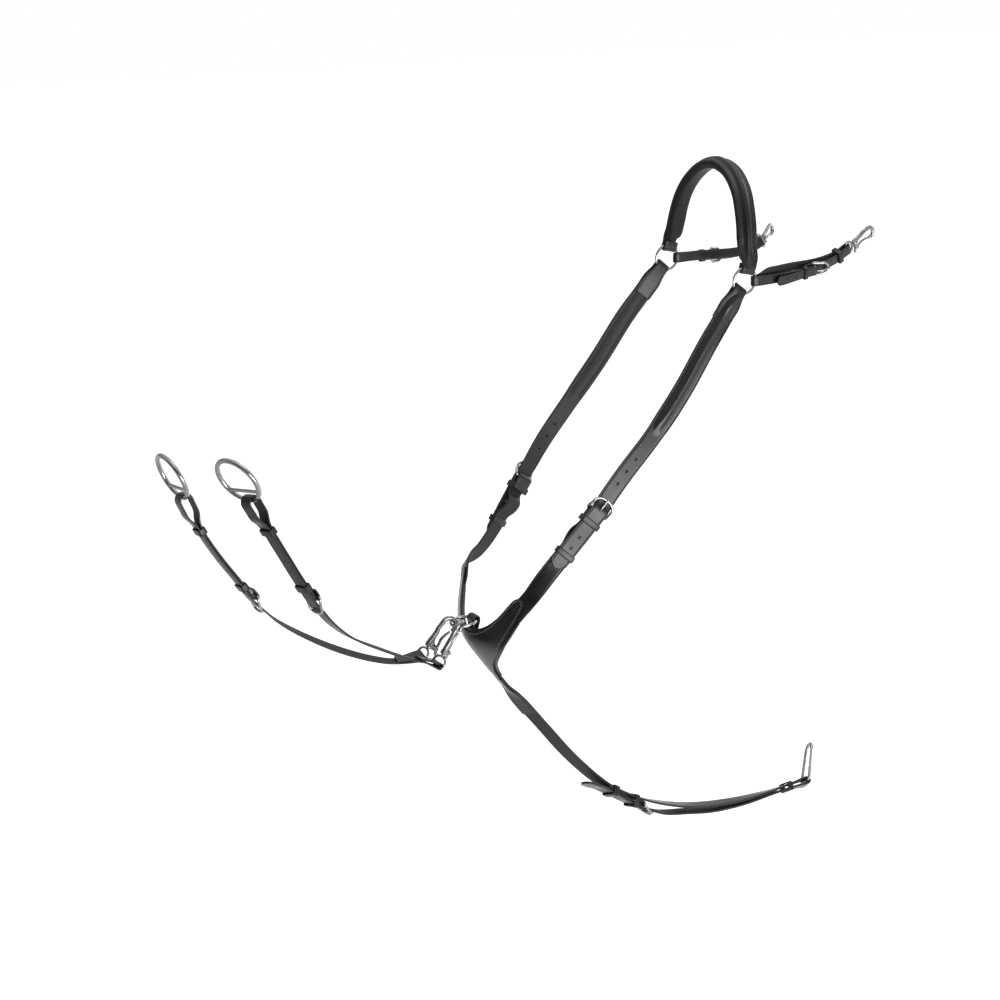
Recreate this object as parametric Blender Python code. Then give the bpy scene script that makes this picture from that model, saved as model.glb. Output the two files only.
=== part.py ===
"""Martingale breastplate of black leather with nickel-plated hardware.

Axes: +X towards the saddle, +Y towards the horse's right side, +Z up. The origin of the
whole object is under the crown of the withers pad. Lengths are written in millimetres,
measured from a point between the two rings, and CROWN is where the crown lies from there.
MM turns them into metres where a mesh is made.
"""

import math

import bmesh
import bpy
from mathutils import Vector

MM = 0.001
CLEAR = 0.4
CROWN_BACK = 17.0

# Leather
STRAP_THICK = 2.5
HEAVY_THICK = 3.0
PAD_THICK = 8.0
PAD_GAP = 0.65
PAD_HALF_WIDTH = 13.5
WITHER_HALF_WIDTH = 12.0
SHOULDER_HALF_WIDTH = 11.5
SADDLE_HALF_WIDTH = 6.25
FORK_HALF_WIDTH = 8.0
GIRTH_HALF_WIDTH = 10.0
BEAD_HEIGHT = 3.6
KEEPER_WALL = 1.5
CHEST_THICK = 3.5
PATCH_THICK = 1.8

# Metal
RING_RADIUS = 16.5
RING_WIRE = 1.8
CHEST_RING_RADIUS = 16.0
CHEST_RING_WIRE = 2.0
BIT_RING_RADIUS = 29.5
BIT_RING_WIRE = 2.3
BIT_RING_BAR = 15.0
EYE_WIRE = 1.6
BUCKLE_WIRE = 1.4
TONGUE_WIRE = 1.0

# Where the rings of the withers lie
RING_SIDE = 89.0
RING_DROP = -127.0

NEAR, FAR = -1.0, 1.0

LEATHER = ((0.022, 0.022, 0.023), 0.42, 0.0)
LINING = ((0.028, 0.027, 0.027), 0.62, 0.0)
NICKEL = ((0.62, 0.61, 0.58), 0.22, 1.0)
STEEL = ((0.55, 0.55, 0.54), 0.28, 1.0)

X_AXIS, Y_AXIS, Z_AXIS = Vector((1, 0, 0)), Vector((0, 1, 0)), Vector((0, 0, 1))
CROWN = Vector((CROWN_BACK, 0.0, 0.0))


# Scene helpers
def clear_scene():
    for obj in list(bpy.data.objects):
        bpy.data.objects.remove(obj, do_unlink=True)


def material(name, look):
    colour, roughness, metallic = look
    mat = bpy.data.materials.new(name)
    mat.use_nodes = True
    shader = mat.node_tree.nodes["Principled BSDF"]
    shader.inputs["Base Color"].default_value = (*colour, 1.0)
    shader.inputs["Roughness"].default_value = roughness
    shader.inputs["Metallic"].default_value = metallic
    mat.diffuse_color = (*colour, 1.0)
    return mat


def add_object(name, bm, look, pivot=(0, 0, 0), smooth=40):
    """Makes an object from points in millimetres, with its origin at the pivot."""
    pivot = Vector(pivot)
    bmesh.ops.recalc_face_normals(bm, faces=bm.faces)
    bmesh.ops.triangulate(bm, faces=[f for f in bm.faces if len(f.verts) > 4])
    for vert in bm.verts:
        vert.co = (vert.co - pivot) * MM
    mesh = bpy.data.meshes.new(name)
    bm.to_mesh(mesh)
    bm.free()
    mesh.shade_smooth()
    mesh.set_sharp_from_angle(angle=math.radians(smooth))
    obj = bpy.data.objects.new(name, mesh)
    obj.location = (pivot - CROWN) * MM
    obj.data.materials.append(material(name, look))
    bpy.context.scene.collection.objects.link(obj)
    return obj


def attach(child, parent):
    """Parents a piece and keeps it where it is."""
    where = child.location.copy()
    child.parent = parent
    above = Vector()
    up = parent
    while up:
        above += up.location
        up = up.parent
    child.location = where - above


def combine(obj, tool, operation):
    """Cuts with or joins a helper, which stays hidden."""
    mod = obj.modifiers.new(operation.lower() + "_" + tool.name, "BOOLEAN")
    mod.operation = operation
    mod.solver = "EXACT"
    mod.object = tool
    tool.hide_render = True
    tool.display_type = "WIRE"


# Curves through a few points
def spline(knots, step):
    """Points a step apart on a smooth curve through the knots, whose extra values follow."""
    rows = [[float(v) for v in knot] for knot in knots]
    first = [2 * a - b for a, b in zip(rows[0], rows[1])]
    last = [2 * a - b for a, b in zip(rows[-1], rows[-2])]
    rows = [first, *rows, last]
    out = []
    for i in range(1, len(rows) - 2):
        p0, p1, p2, p3 = rows[i - 1 : i + 3]
        span = (Vector(p2[:3]) - Vector(p1[:3])).length
        before = max((Vector(p1[:3]) - Vector(p0[:3])).length, 1e-6)
        after = max((Vector(p3[:3]) - Vector(p2[:3])).length, 1e-6)
        count = max(1, round(span / step))
        for k in range(count):
            t = k / count
            h1, h2 = 2 * t**3 - 3 * t**2 + 1, -2 * t**3 + 3 * t**2
            g1, g2 = t**3 - 2 * t**2 + t, t**3 - t**2
            row = []
            for a, b, c, d in zip(p0, p1, p2, p3):
                start = ((b - a) / before + (c - b) / span) / 2 * span
                end = ((c - b) / span + (d - c) / after) / 2 * span
                row.append(h1 * b + g1 * start + h2 * c + g2 * end)
            out.append(row)
    out.append(rows[-2])
    return out


class Base:
    """A centre line with an outward direction, measured by its length."""

    def __init__(self, knots, step=2.0):
        rows = spline(knots, step)
        self.points = [Vector(r[:3]) for r in rows]
        self.outs = [Vector(r[3:6]).normalized() for r in rows]
        self.at = [0.0]
        for a, b in zip(self.points, self.points[1:]):
            self.at.append(self.at[-1] + (b - a).length)
        self.length = self.at[-1]

    def frame(self, s):
        """Point, direction and outward direction at a length, which may lie past an end."""
        inside = min(max(s, 0.0), self.length)
        i = max(k for k in range(len(self.at) - 1) if self.at[k] <= inside or k == 0)
        span = self.at[i + 1] - self.at[i]
        t = (inside - self.at[i]) / span
        j, k = max(i - 1, 0), min(i + 2, len(self.at) - 1)
        low = (self.points[i + 1] - self.points[j]).normalized()
        high = (self.points[k] - self.points[i]).normalized()
        ahead = low.lerp(high, t).normalized()
        point = self.points[i].lerp(self.points[i + 1], t) + ahead * (s - inside)
        out = self.outs[i].lerp(self.outs[i + 1], t)
        out = (out - ahead * out.dot(ahead)).normalized()
        return point, ahead, out


def lerp_table(table, s):
    """Reads a value from a table of (length, value) with smooth steps between."""
    if s <= table[0][0]:
        return table[0][1]
    for (a, va), (b, vb) in zip(table, table[1:]):
        if s <= b:
            t = (s - a) / (b - a)
            t = t * t * (3 - 2 * t)
            return va + (vb - va) * t
    return table[-1][1]


# Strap sections, swept along stations of (point, outward direction, half width, bead)
def run(base, start, end, offset, half, step=8.0, bead=None, side=1.0):
    """Stations along one layer of a strap, from one length to another."""
    count = max(1, math.ceil(abs(end - start) / step))
    out = []
    for i in range(count + 1):
        s = start + (end - start) * i / count
        point, _, outward = base.frame(s)
        lift = lerp_table(offset, s) if isinstance(offset, list) else offset
        width = lerp_table(half, s) if isinstance(half, list) else half
        tall = lerp_table(bead, s) if bead else 0.0
        out.append((point + outward * lift, outward * side, width, tall))
    return out


def turn(station, ahead, radius, degrees=180, steps=6):
    """Stations of a fold towards the strap's inner side, after the given station."""
    point, outward, half, bead = station
    ahead = (ahead - outward * ahead.dot(outward)).normalized()
    centre = point - outward * radius
    out = []
    for i in range(1, steps + 1):
        a = math.radians(degrees) * i / steps
        spoke = outward * math.cos(a) + ahead * math.sin(a)
        out.append((centre + spoke * radius, spoke, half, bead))
    return out


def tip(stations, length, steps=3):
    """Rounds the last stretch of a strap, which it makes a little longer."""
    point, outward, half, bead = stations[-1]
    ahead = (point - stations[-2][0]).normalized()
    for i in range(1, steps + 1):
        t = math.sin(i / steps * math.pi / 2) * 0.96
        width = half * math.sqrt(1 - t * t)
        stations.append((point + ahead * length * t, outward, width, 0.0))
    return stations


def strap_section(half, thick, bead):
    """Points across a strap: side position and height, anticlockwise from the lower left."""
    edge = min(0.7, half * 0.4)
    low, high = -thick / 2, thick / 2
    points = [(-half, low + edge), (-half + edge, low), (half - edge, low), (half, low + edge)]
    points += [(half, high - edge), (half - edge, high)]
    if bead is not None:
        for u, v in ((0.58, 0.0), (0.32, 0.92), (-0.32, 0.92), (-0.58, 0.0)):
            points.append((half * u, high + bead * v))
    points += [(-half + edge, high), (-half, high - edge)]
    return points


def skin(sections, closed=False):
    """Joins rings of points into one closed body."""
    bm = bmesh.new()
    rings = [[bm.verts.new(p) for p in ring] for ring in sections]
    pairs = list(zip(rings, rings[1:] + rings[:1] if closed else rings[1:]))
    for a, b in pairs:
        for i in range(len(a)):
            j = (i + 1) % len(a)
            bm.faces.new((a[i], a[j], b[j], b[i]))
    if not closed:
        bm.faces.new(rings[0])
        bm.faces.new(list(reversed(rings[-1])))
    return bm


def strap_mesh(stations, thick, beaded=False):
    sections = []
    count = len(stations)
    for i, (point, outward, half, bead) in enumerate(stations):
        before = stations[max(i - 1, 0)][0]
        after = stations[min(i + 1, count - 1)][0]
        ahead = (after - before).normalized()
        out = (outward - ahead * outward.dot(ahead)).normalized()
        across = ahead.cross(out)
        ring = strap_section(half, thick, bead if beaded else None)
        sections.append([point + across * u + out * v for u, v in ring])
    return skin(sections)


def tube_mesh(points, radius, plane, closed=False, sides=8):
    """A round bar along points that lie near a plane with the given normal."""
    sections = []
    count = len(points)
    for i, point in enumerate(points):
        before = points[i - 1] if closed or i else points[0]
        after = points[(i + 1) % count] if closed or i < count - 1 else points[-1]
        ahead = (after - before).normalized()
        across = (plane - ahead * plane.dot(ahead)).normalized()
        third = ahead.cross(across)
        thick = radius[i] if isinstance(radius, list) else radius
        ring = []
        for k in range(sides):
            a = 2 * math.pi * (k + 0.5) / sides
            ring.append(point + (across * math.cos(a) + third * math.sin(a)) * thick)
        sections.append(ring)
    return skin(sections, closed)


def disc_mesh(centre, axis, profile, sides=12):
    """A turned piece: profile is (along the axis, radius)."""
    axis = axis.normalized()
    side = axis.orthogonal().normalized()
    third = axis.cross(side)
    sections = []
    for along, radius in profile:
        ring = []
        for k in range(sides):
            a = 2 * math.pi * k / sides
            ring.append(centre + axis * along + (side * math.cos(a) + third * math.sin(a)) * radius)
        sections.append(ring)
    return skin(sections)


def circle(centre, radius, u, v, count, start=0.0):
    out = []
    for k in range(count):
        a = math.radians(start) + 2 * math.pi * k / count
        out.append(centre + (u * math.cos(a) + v * math.sin(a)) * radius)
    return out


class Place:
    """A local frame: s along, n outward, b across."""

    def __init__(self, origin, along, outward):
        self.o = origin
        self.s = along.normalized()
        self.n = (outward - self.s * outward.dot(self.s)).normalized()
        self.b = self.s.cross(self.n)

    def at(self, s, n, b=0.0):
        return self.o + self.s * s + self.n * n + self.b * b


def box_mesh(place, low, high):
    corners = []
    for s in (low[0], high[0]):
        ring = [(low[1], low[2]), (high[1], low[2]), (high[1], high[2]), (low[1], high[2])]
        corners.append([place.at(s, n, b) for n, b in ring])
    return skin(corners)


# Small leather and metal pieces
def keeper(name, place, half, low, high, length, look=LEATHER):
    """A leather band round the layers of a strap."""

    def outline(grow):
        w, top, bottom, cut = half + grow, high + grow, low - grow, 0.8 + grow * 0.5
        return [
            (-w, bottom + cut), (-w + cut, bottom), (w - cut, bottom), (w, bottom + cut),
            (w, top - cut), (w - cut, top), (-w + cut, top), (-w, top - cut),
        ]

    inner, outer = outline(0.0), outline(KEEPER_WALL)
    bm = bmesh.new()
    rings = []
    for shape, s in ((inner, 0), (outer, 0), (outer, length), (inner, length)):
        rings.append([bm.verts.new(place.at(s - length / 2, n, b)) for b, n in shape])
    for a, b in zip(rings, rings[1:] + rings[:1]):
        for i in range(8):
            j = (i + 1) % 8
            bm.faces.new((a[i], a[j], b[j], b[i]))
    return add_object(name, bm, look, place.o)


def buckle(name, place, half, length, rise, bar=0.0, crank=0.0):
    """A buckle frame whose bar crosses the origin of its place, with a rounded far end."""
    w = half + CLEAR + BUCKLE_WIRE + 0.3
    path = [(0, -w * 0.92), (0, 0), (0, w * 0.92), (1.2, w), (length * 0.45, w)]
    path += [(length * 0.72, w * 0.93), (length * 0.92, w * 0.6), (length, 0)]
    path += [(length * 0.92, -w * 0.6), (length * 0.72, -w * 0.93), (length * 0.45, -w), (1.2, -w)]
    points = []
    for s, b in path:
        t = s / length
        points.append(place.at(s, bar + rise * t + crank * math.sin(math.pi * t), b))
    return add_object(name, tube_mesh(points, BUCKLE_WIRE, place.n, True, 8), NICKEL, place.at(0, bar))


def tongue(name, place, bar, path):
    """A tongue curled round the bar, then over the strap to the end of the frame."""
    reach = BUCKLE_WIRE + CLEAR + TONGUE_WIRE
    points = []
    for i in range(7):
        a = math.radians(-55 - 35 * i)
        points.append(place.at(reach * math.cos(a), bar + reach * math.sin(a)))
    points += [place.at(s, n) for s, n in path]
    return add_object(name, tube_mesh(points, TONGUE_WIRE, place.b, False, 6), NICKEL, place.at(0, bar))


def slot_cutter(name, place, bar, high):
    """A long hole round the bar, for the curl of the tongue and for the tongue itself."""
    half = TONGUE_WIRE + CLEAR
    bm = box_mesh(place, (-4.4, bar - 4.4, -half), (8.6, high, half))
    return add_object(name, bm, LINING, place.o)


def hole_cutter(name, base, lengths, low, high, radius=1.3):
    """Round punches through a strap, in one helper."""
    bm = bmesh.new()
    for s in lengths:
        point, ahead, out = base.frame(s)
        side = ahead.cross(out)
        rings = []
        for n in (low, high):
            ring = []
            for k in range(8):
                a = 2 * math.pi * k / 8
                spoke = ahead * math.cos(a) + side * math.sin(a)
                ring.append(bm.verts.new(point + out * n + spoke * radius))
            rings.append(ring)
        for i in range(8):
            j = (i + 1) % 8
            bm.faces.new((rings[0][i], rings[0][j], rings[1][j], rings[1][i]))
        bm.faces.new(rings[0])
        bm.faces.new(list(reversed(rings[1])))
    return add_object(name, bm, LINING)


class Snap:
    """Trigger snap: a runs from the eye's bar to the head, c towards the trigger."""

    def __init__(self, prefix, origin, a, d, scale, length, eye_half, pivot=None):
        self.prefix, self.o, self.k, self.length = prefix, origin, scale, length
        self.pivot = pivot or origin
        self.a = a.normalized()
        self.d = (d - self.a * d.dot(self.a)).normalized()
        self.c = self.d.cross(self.a)
        self.eye_half = eye_half

    def at(self, a, c, d=0.0):
        return self.o + (self.a * a + self.c * c + self.d * d) * self.k

    def eye(self, bar_axis):
        """The swivel eye: a bow for the strap, with a headed stem through the barrel."""
        bar_axis = (bar_axis - self.a * bar_axis.dot(self.a)).normalized()
        wire = EYE_WIRE
        w = self.eye_half
        top = 8.0 * self.k
        shape = [(0, -w), (0, 0), (0, w), (0.32, w * 1.06), (0.62, w * 0.86)]
        shape += [(0.88, w * 0.5), (1.0, 0), (0.88, -w * 0.5), (0.62, -w * 0.86), (0.32, -w * 1.06)]
        points = [self.o + self.a * (top * t) + bar_axis * b for t, b in shape]
        plane = self.a.cross(bar_axis)
        obj = add_object(self.prefix + "_eye", tube_mesh(points, wire, plane, True, 8), NICKEL, self.o)
        k = self.k
        profile = [(7.4 * k, 1.5 * k), (14.3 * k, 1.5 * k), (14.3 * k, 2.7 * k), (15.6 * k, 2.7 * k)]
        profile += [(16.2 * k, 1.6 * k)]
        stem = add_object(self.prefix + "_stem_helper", disc_mesh(self.o, self.a, profile, 10), NICKEL)
        combine(obj, stem, "UNION")
        return obj

    def body(self):
        """The hook with its barrel, bored for the stem."""
        centre = self.length
        path = [(11.0, -3.2), (14.5, -5.2), (20.0, -6.0), (centre - 7.0, -6.2)]
        radii = [2.2, 2.1, 2.1, 2.1]
        for i in range(8):
            a = math.radians(-112 + i * (112 + 112) / 7)
            path.append((centre + 6.0 * math.cos(a), 6.0 * math.sin(a)))
            radii.append(2.1 if i < 6 else 1.8 - 0.2 * (i - 6))
        points = [self.at(a, c) for a, c in path]
        bm = tube_mesh(points, [r * self.k for r in radii], self.d, False, 8)
        obj = add_object(self.prefix + "_hook", bm, NICKEL, self.pivot)
        k = self.k
        barrel = disc_mesh(self.o, self.a, [(9.9 * k, 3.7 * k), (13.6 * k, 3.7 * k)], 12)
        bore = disc_mesh(self.o, self.a, [(8.0 * k, 1.95 * k), (15.0 * k, 1.95 * k)], 10)
        combine(obj, add_object(self.prefix + "_barrel_helper", barrel, NICKEL), "UNION")
        for way, tag in ((-1.0, "left"), (1.0, "right")):
            ear = self.ear(way * (1.5 + 0.3 / k), way * (2.6 + 0.3 / k))
            combine(obj, add_object(self.prefix + "_ear_helper_" + tag, ear, NICKEL), "UNION")
        combine(obj, add_object(self.prefix + "_bore_helper", bore, NICKEL), "DIFFERENCE")
        return obj

    def ear(self, inner, outer):
        """One of the two cheeks that hold the trigger's pivot."""
        sections = []
        for d in (inner, outer):
            outline = ((10.4, 1.6), (13.4, 1.6), (14.8, 5.2), (14.0, 7.2), (12.0, 7.4), (10.6, 5.4))
            sections.append([self.at(a, c, d) for a, c in outline])
        return skin(sections)

    def trigger(self):
        """The sprung lever that closes the hook, with its thumb piece."""
        reach = self.length - 4.6
        path = [(8.6, 10.2), (10.4, 7.6), (12.8, 6.0), (17.0, 5.5), (reach - 4.0, 5.3), (reach, 4.7)]
        radii = [1.9, 1.5, 1.5, 1.3, 1.2, 1.1]
        points = [self.at(a, c) for a, c in path]
        bm = tube_mesh(points, [r * self.k for r in radii], self.d, False, 6)
        return add_object(self.prefix + "_trigger", bm, NICKEL, self.at(12.8, 6.0))


# The withers
def ring_centre(side):
    return Vector((0.0, RING_SIDE * side, RING_DROP))


FOLD_AT_RING = RING_WIRE + 0.5 + HEAVY_THICK / 2
LOOP_DROP = 13.3
RING_LEAN = math.radians(12)


# Half of the arch, from its fold at a ring to the crown: back, out, up and the toe of its face
FOLD_BACK, FOLD_UP = LOOP_DROP * math.sin(RING_LEAN), LOOP_DROP * math.cos(RING_LEAN)
ARCH = [
    (FOLD_BACK, RING_SIDE + FOLD_AT_RING, RING_DROP + FOLD_UP, 0.0),
    (5.2, RING_SIDE + 3.0, -105.0, 0.02), (6.0, RING_SIDE - 3.0, -91.0, 0.08),
    (7.0, RING_SIDE * 0.935, -76.0, 0.15), (8.2, RING_SIDE * 0.89, -58.0, 0.2),
    (9.8, RING_SIDE * 0.81, -39.0, 0.2), (12.4, RING_SIDE * 0.695, -22.0, 0.16),
    (14.6, RING_SIDE * 0.54, -8.0, 0.1), (16.2, RING_SIDE * 0.342, 3.6, 0.04),
    (CROWN_BACK, RING_SIDE * 0.057, HEAVY_THICK / 2 + PAD_GAP + PAD_THICK, 0.0),
]


def arch_base():
    """The arch from the near ring over the withers to the far ring, leaning back as it rises."""
    rows = [(x, -y, z, toe) for x, y, z, toe in ARCH] + [(x, y, z, toe) for x, y, z, toe in ARCH[::-1]]
    knots = []
    for i, (x, y, z, toe) in enumerate(rows):
        before, after = rows[max(i - 1, 0)], rows[min(i + 1, len(rows) - 1)]
        dy, dz = after[1] - before[1], after[2] - before[2]
        long = math.hypot(dy, dz)
        normal = Vector((-toe, -dz / long, dy / long))
        if i in (0, len(rows) - 1):
            normal = Vector((0.0, math.copysign(1.0, y), 0.0))
        if abs(y) < 6:
            normal = Z_AXIS.copy()
        knots.append((x, y, z, *normal))
    return Base(knots)


ARCH_STEPS = 26


def arch_marks(length):
    return [4 + (length - 8) * i / ARCH_STEPS for i in range(ARCH_STEPS + 1)]


def wither_strap():
    """The raised strap over the withers, folded up inside each ring."""
    base = arch_base()
    loop = 9.5
    stations = []
    inner = RING_SIDE - FOLD_AT_RING
    up = Vector((math.sin(RING_LEAN), 0.0, math.cos(RING_LEAN)))
    fold = Vector((FOLD_BACK, 0.0, RING_DROP + FOLD_UP))
    stations.append((fold + up * 8 - Y_AXIS * inner, Y_AXIS.copy(), loop, 0.0))
    stations.append((fold - Y_AXIS * inner, Y_AXIS.copy(), loop, 0.0))
    stations += turn(stations[-1], -up, FOLD_AT_RING)
    end = base.length
    widths = [(4, loop), (15, WITHER_HALF_WIDTH), (end - 15, WITHER_HALF_WIDTH), (end - 4, loop)]
    beads = [(10, 0.0), (24, BEAD_HEIGHT), (end - 24, BEAD_HEIGHT), (end - 10, 0.0)]
    stations += run(base, 4, end - 4, 0.0, widths, (end - 8) / ARCH_STEPS + 0.01, beads)
    stations.append((fold + Y_AXIS * (RING_SIDE + FOLD_AT_RING), Y_AXIS.copy(), loop, 0.0))
    stations += turn(stations[-1], -up, FOLD_AT_RING)
    stations.append((fold + up * 8 + Y_AXIS * inner, -Y_AXIS, loop, 0.0))
    return add_object("withers_strap", strap_mesh(stations, HEAVY_THICK, True), LEATHER)


def wither_padding():
    """The soft pad under the strap, crowned below and drawn in at its sides."""
    base = arch_base()
    drop = HEAVY_THICK / 2 + PAD_GAP + PAD_THICK / 2
    start, end = 15.0, base.length - 15.0
    middle = base.length / 2
    marks = [start, start + 1.5, end - 1.5, end, middle - 4.5, middle + 4.5]
    marks += [s for s in arch_marks(base.length) if start + 4 < s < end - 4 and abs(s - middle) > 6]
    sections = []
    for s in sorted(marks):
        point, ahead, out = base.frame(s)
        if abs(s - middle) < 5:
            point, ahead, out = Vector((CROWN_BACK, point.y, ARCH[-1][2])), Y_AXIS, Z_AXIS
        across = ahead.cross(out)
        near_end = min(s - start, end - s)
        full = min(1.0, 0.5 + 0.5 * math.sqrt(near_end / 8.0))
        w = PAD_HALF_WIDTH * (0.8 + 0.2 * min(1.0, near_end / 26.0))
        top, low = PAD_THICK / 2, PAD_THICK / 2 - PAD_THICK * full
        ring = [(-0.93, top), (-1.0, top - 1.4), (-0.97, top - 3.2), (-0.8, low + 1.1), (-0.45, low)]
        ring += [(0.45, low), (0.8, low + 1.1), (0.97, top - 3.2), (1.0, top - 1.4), (0.93, top)]
        centre = point - out * drop
        sections.append([centre + across * (u * w) + out * max(v, low) for u, v in ring])
    return add_object("withers_padding", skin(sections), LINING, (0, 0, 0), 60)


def withers_ring(side):
    centre = ring_centre(side)
    points = circle(centre, RING_RADIUS, X_AXIS, Z_AXIS, 24)
    name = "withers_ring_near" if side == NEAR else "withers_ring_far"
    return add_object(name, tube_mesh(points, RING_WIRE, Y_AXIS, True, 8), NICKEL, centre)


# The two saddle straps
def saddle_base(side):
    if side == NEAR:
        line = [(14.8, 0, -1.5, 0.0), (38, 0.5, -0.5, 0.12), (78, 2.0, 4.0, 0.4)]
        line += [(109, 3.0, 9.5, 0.42), (138, 3.0, 18.5, 0.4), (154, 3.0, 27.0, 0.34)]
    else:
        line = [(14.8, 0, -1.5, 0.0), (38, 0.5, -2.0, 0.1), (74, 2.0, -3.5, 0.25)]
        line += [(106, 3.0, -4.0, 0.3), (134, 3.0, 0.0, 0.3), (149.5, 3.0, 7.5, 0.28)]
    knots = []
    for x, out, up, tilt in line:
        knots.append((x, side * (RING_SIDE + out), RING_DROP + up, 0.0, side, -tilt))
    return Base(knots)


SADDLE_EYE_FOLD = EYE_WIRE + 0.45 + STRAP_THICK / 2
SADDLE_RING_FOLD = RING_WIRE + 0.5 + STRAP_THICK / 2
BAR_FOLD = BUCKLE_WIRE + 0.35 + STRAP_THICK / 2
SADDLE_BAR = {NEAR: 84.0, FAR: 57.0}
SADDLE_CHAPE = 4.8
SADDLE_SLIP = 7.0
SNAP_SCALE, SNAP_LENGTH = 1.05, 36.5


def saddle_strap(side, tag):
    """One strap through the ring and the snap's eye, buckled onto itself."""
    base = saddle_base(side)
    half = SADDLE_HALF_WIDTH
    bar, top = SADDLE_BAR[side], SADDLE_CHAPE
    gap = [(0, SADDLE_RING_FOLD), (30, 3.4), (bar - 22, 4.6), (bar, top), (bar + 26, 4.6)]
    gap += [(base.length - 12, 3.4), (base.length, SADDLE_EYE_FOLD)]
    stations = run(base, bar - 9, bar, top - 2 * BAR_FOLD, half, 9, None, -1)
    stations += turn(stations[-1], base.frame(bar)[1], BAR_FOLD)
    stations += run(base, bar - 5, 0, gap, half, 14)
    stations += turn(stations[-1], -base.frame(0)[1], SADDLE_RING_FOLD)
    slip = SADDLE_SLIP if side == NEAR else 1.0
    rise = [(4, 0.0), (24, slip), (34, slip), (base.length - 18, 0.0)]
    inner = [(s, -v) for s, v in gap]
    for i, (p, n, w, b) in enumerate(run(base, 10, base.length, inner, half, 14, None, -1)):
        s = 10 + (base.length - 10) * i / math.ceil((base.length - 10) / 14)
        stations.append((p + Z_AXIS * lerp_table(rise, s), n, w, b))
    stations += turn(stations[-1], base.frame(base.length)[1], SADDLE_EYE_FOLD)
    over = STRAP_THICK + 0.3
    billet = [(bar - 54, 6.4 + over), (bar - 20, top + over), (bar + 2, top + over + 0.2)]
    billet += [(bar + 19, 4.7), (base.length - 12, 3.6), (base.length, SADDLE_EYE_FOLD)]
    stations += run(base, base.length - 8, bar - 16, billet, half, 11)
    for i, (p, n, w, b) in enumerate(run(base, bar - 26, bar - 50, billet, half, 8)):
        stations.append((p - Z_AXIS * (0.5 * (i + 1)), n, w, b))
    tip(stations, 6.0)
    name = "saddle_strap_" + tag
    obj = add_object(name, strap_mesh(stations, STRAP_THICK), LEATHER, ring_centre(side))
    place = Place(*base.frame(bar))
    slot = slot_cutter("slot_" + name, place, SADDLE_CHAPE - BAR_FOLD, 12.0)
    combine(obj, slot, "DIFFERENCE")
    return obj, base


def saddle_hardware(side, tag, base):
    bar_n = SADDLE_CHAPE - BAR_FOLD
    place = Place(*base.frame(SADDLE_BAR[side]))
    frame = buckle("saddle_buckle_" + tag, place, SADDLE_HALF_WIDTH, 21.0, 6.4, bar_n, 1.2)
    over = 0.2 + BUCKLE_WIRE + TONGUE_WIRE
    rest = bar_n + 6.4 + over
    path = [(2.8, bar_n + 4.8), (6.0, 9.2), (9.5, 10.3), (16, rest - 0.1), (22.4, rest)]
    pin = tongue("saddle_tongue_" + tag, place, bar_n, path)
    front_place = Place(*base.frame(SADDLE_BAR[side] - 12))
    top = SADDLE_CHAPE + STRAP_THICK * 1.5 + 0.75
    front = keeper("saddle_keeper_front_" + tag, front_place, SADDLE_HALF_WIDTH + 0.35, 2.7, top, 6.0)
    rear_place = Place(*base.frame(base.length - 16))
    rear = keeper("saddle_keeper_rear_" + tag, rear_place, SADDLE_HALF_WIDTH + 0.6, -6.4, 6.6, 6.5)
    return frame, pin, front, rear


def saddle_snap(side, tag, base):
    eye, ahead, out = base.frame(base.length)
    across = ahead.cross(out)
    along = Vector((0.8, -0.05, 0.6)) if side == NEAR else Vector((0.83, 0.52, 0.19))
    along -= across * along.dot(across)
    half = SADDLE_HALF_WIDTH + CLEAR + EYE_WIRE
    snap = Snap("saddle_snap_" + tag, eye, along, Y_AXIS, SNAP_SCALE, SNAP_LENGTH, half)
    return snap.eye(across), snap.body(), snap.trigger()


# The chest piece
CHEST_X, CHEST_Z = -345.0, -560.0
ARM_END = (66.0, 36.0)
ARM_AHEAD = (0.53, 0.85)
ARM_SKEW = 1.2
GIRTH_JOINT = -62.0


def chest_surface(y, z):
    """How far forward the chest piece lies, for a side position and a height from its middle."""
    sideways = 0.45 * (math.hypot(y, 15.0) - 15.0)
    drop = 0.8 * (math.hypot(z, 12.0) - 12.0) if z < 0 else 0.25 * (math.hypot(z, 25.0) - 25.0)
    return CHEST_X + sideways + drop


def chest_point(y, z, lift=0.0):
    """A point on the chest piece and the outward direction there, lifted along it."""
    e = 0.5
    x = chest_surface(y, z)
    dy = (chest_surface(y + e, z) - chest_surface(y - e, z)) / (2 * e)
    dz = (chest_surface(y, z + e) - chest_surface(y, z - e)) / (2 * e)
    out = Vector((-1.0, dy, dz)).normalized()
    return Vector((x, y, CHEST_Z + z)) + out * lift, out


def round_outline(points, steps=2):
    """Cuts the corners of half an outline twice, so that its curves read as curves."""
    for _ in range(steps):
        out = [points[0]]
        for a, b in zip(points, points[1:]):
            out.append((a[0] * 0.75 + b[0] * 0.25, a[1] * 0.75 + b[1] * 0.25))
            out.append((a[0] * 0.25 + b[0] * 0.75, a[1] * 0.25 + b[1] * 0.75))
        out.append(points[-1])
        points = out
    return points


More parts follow.
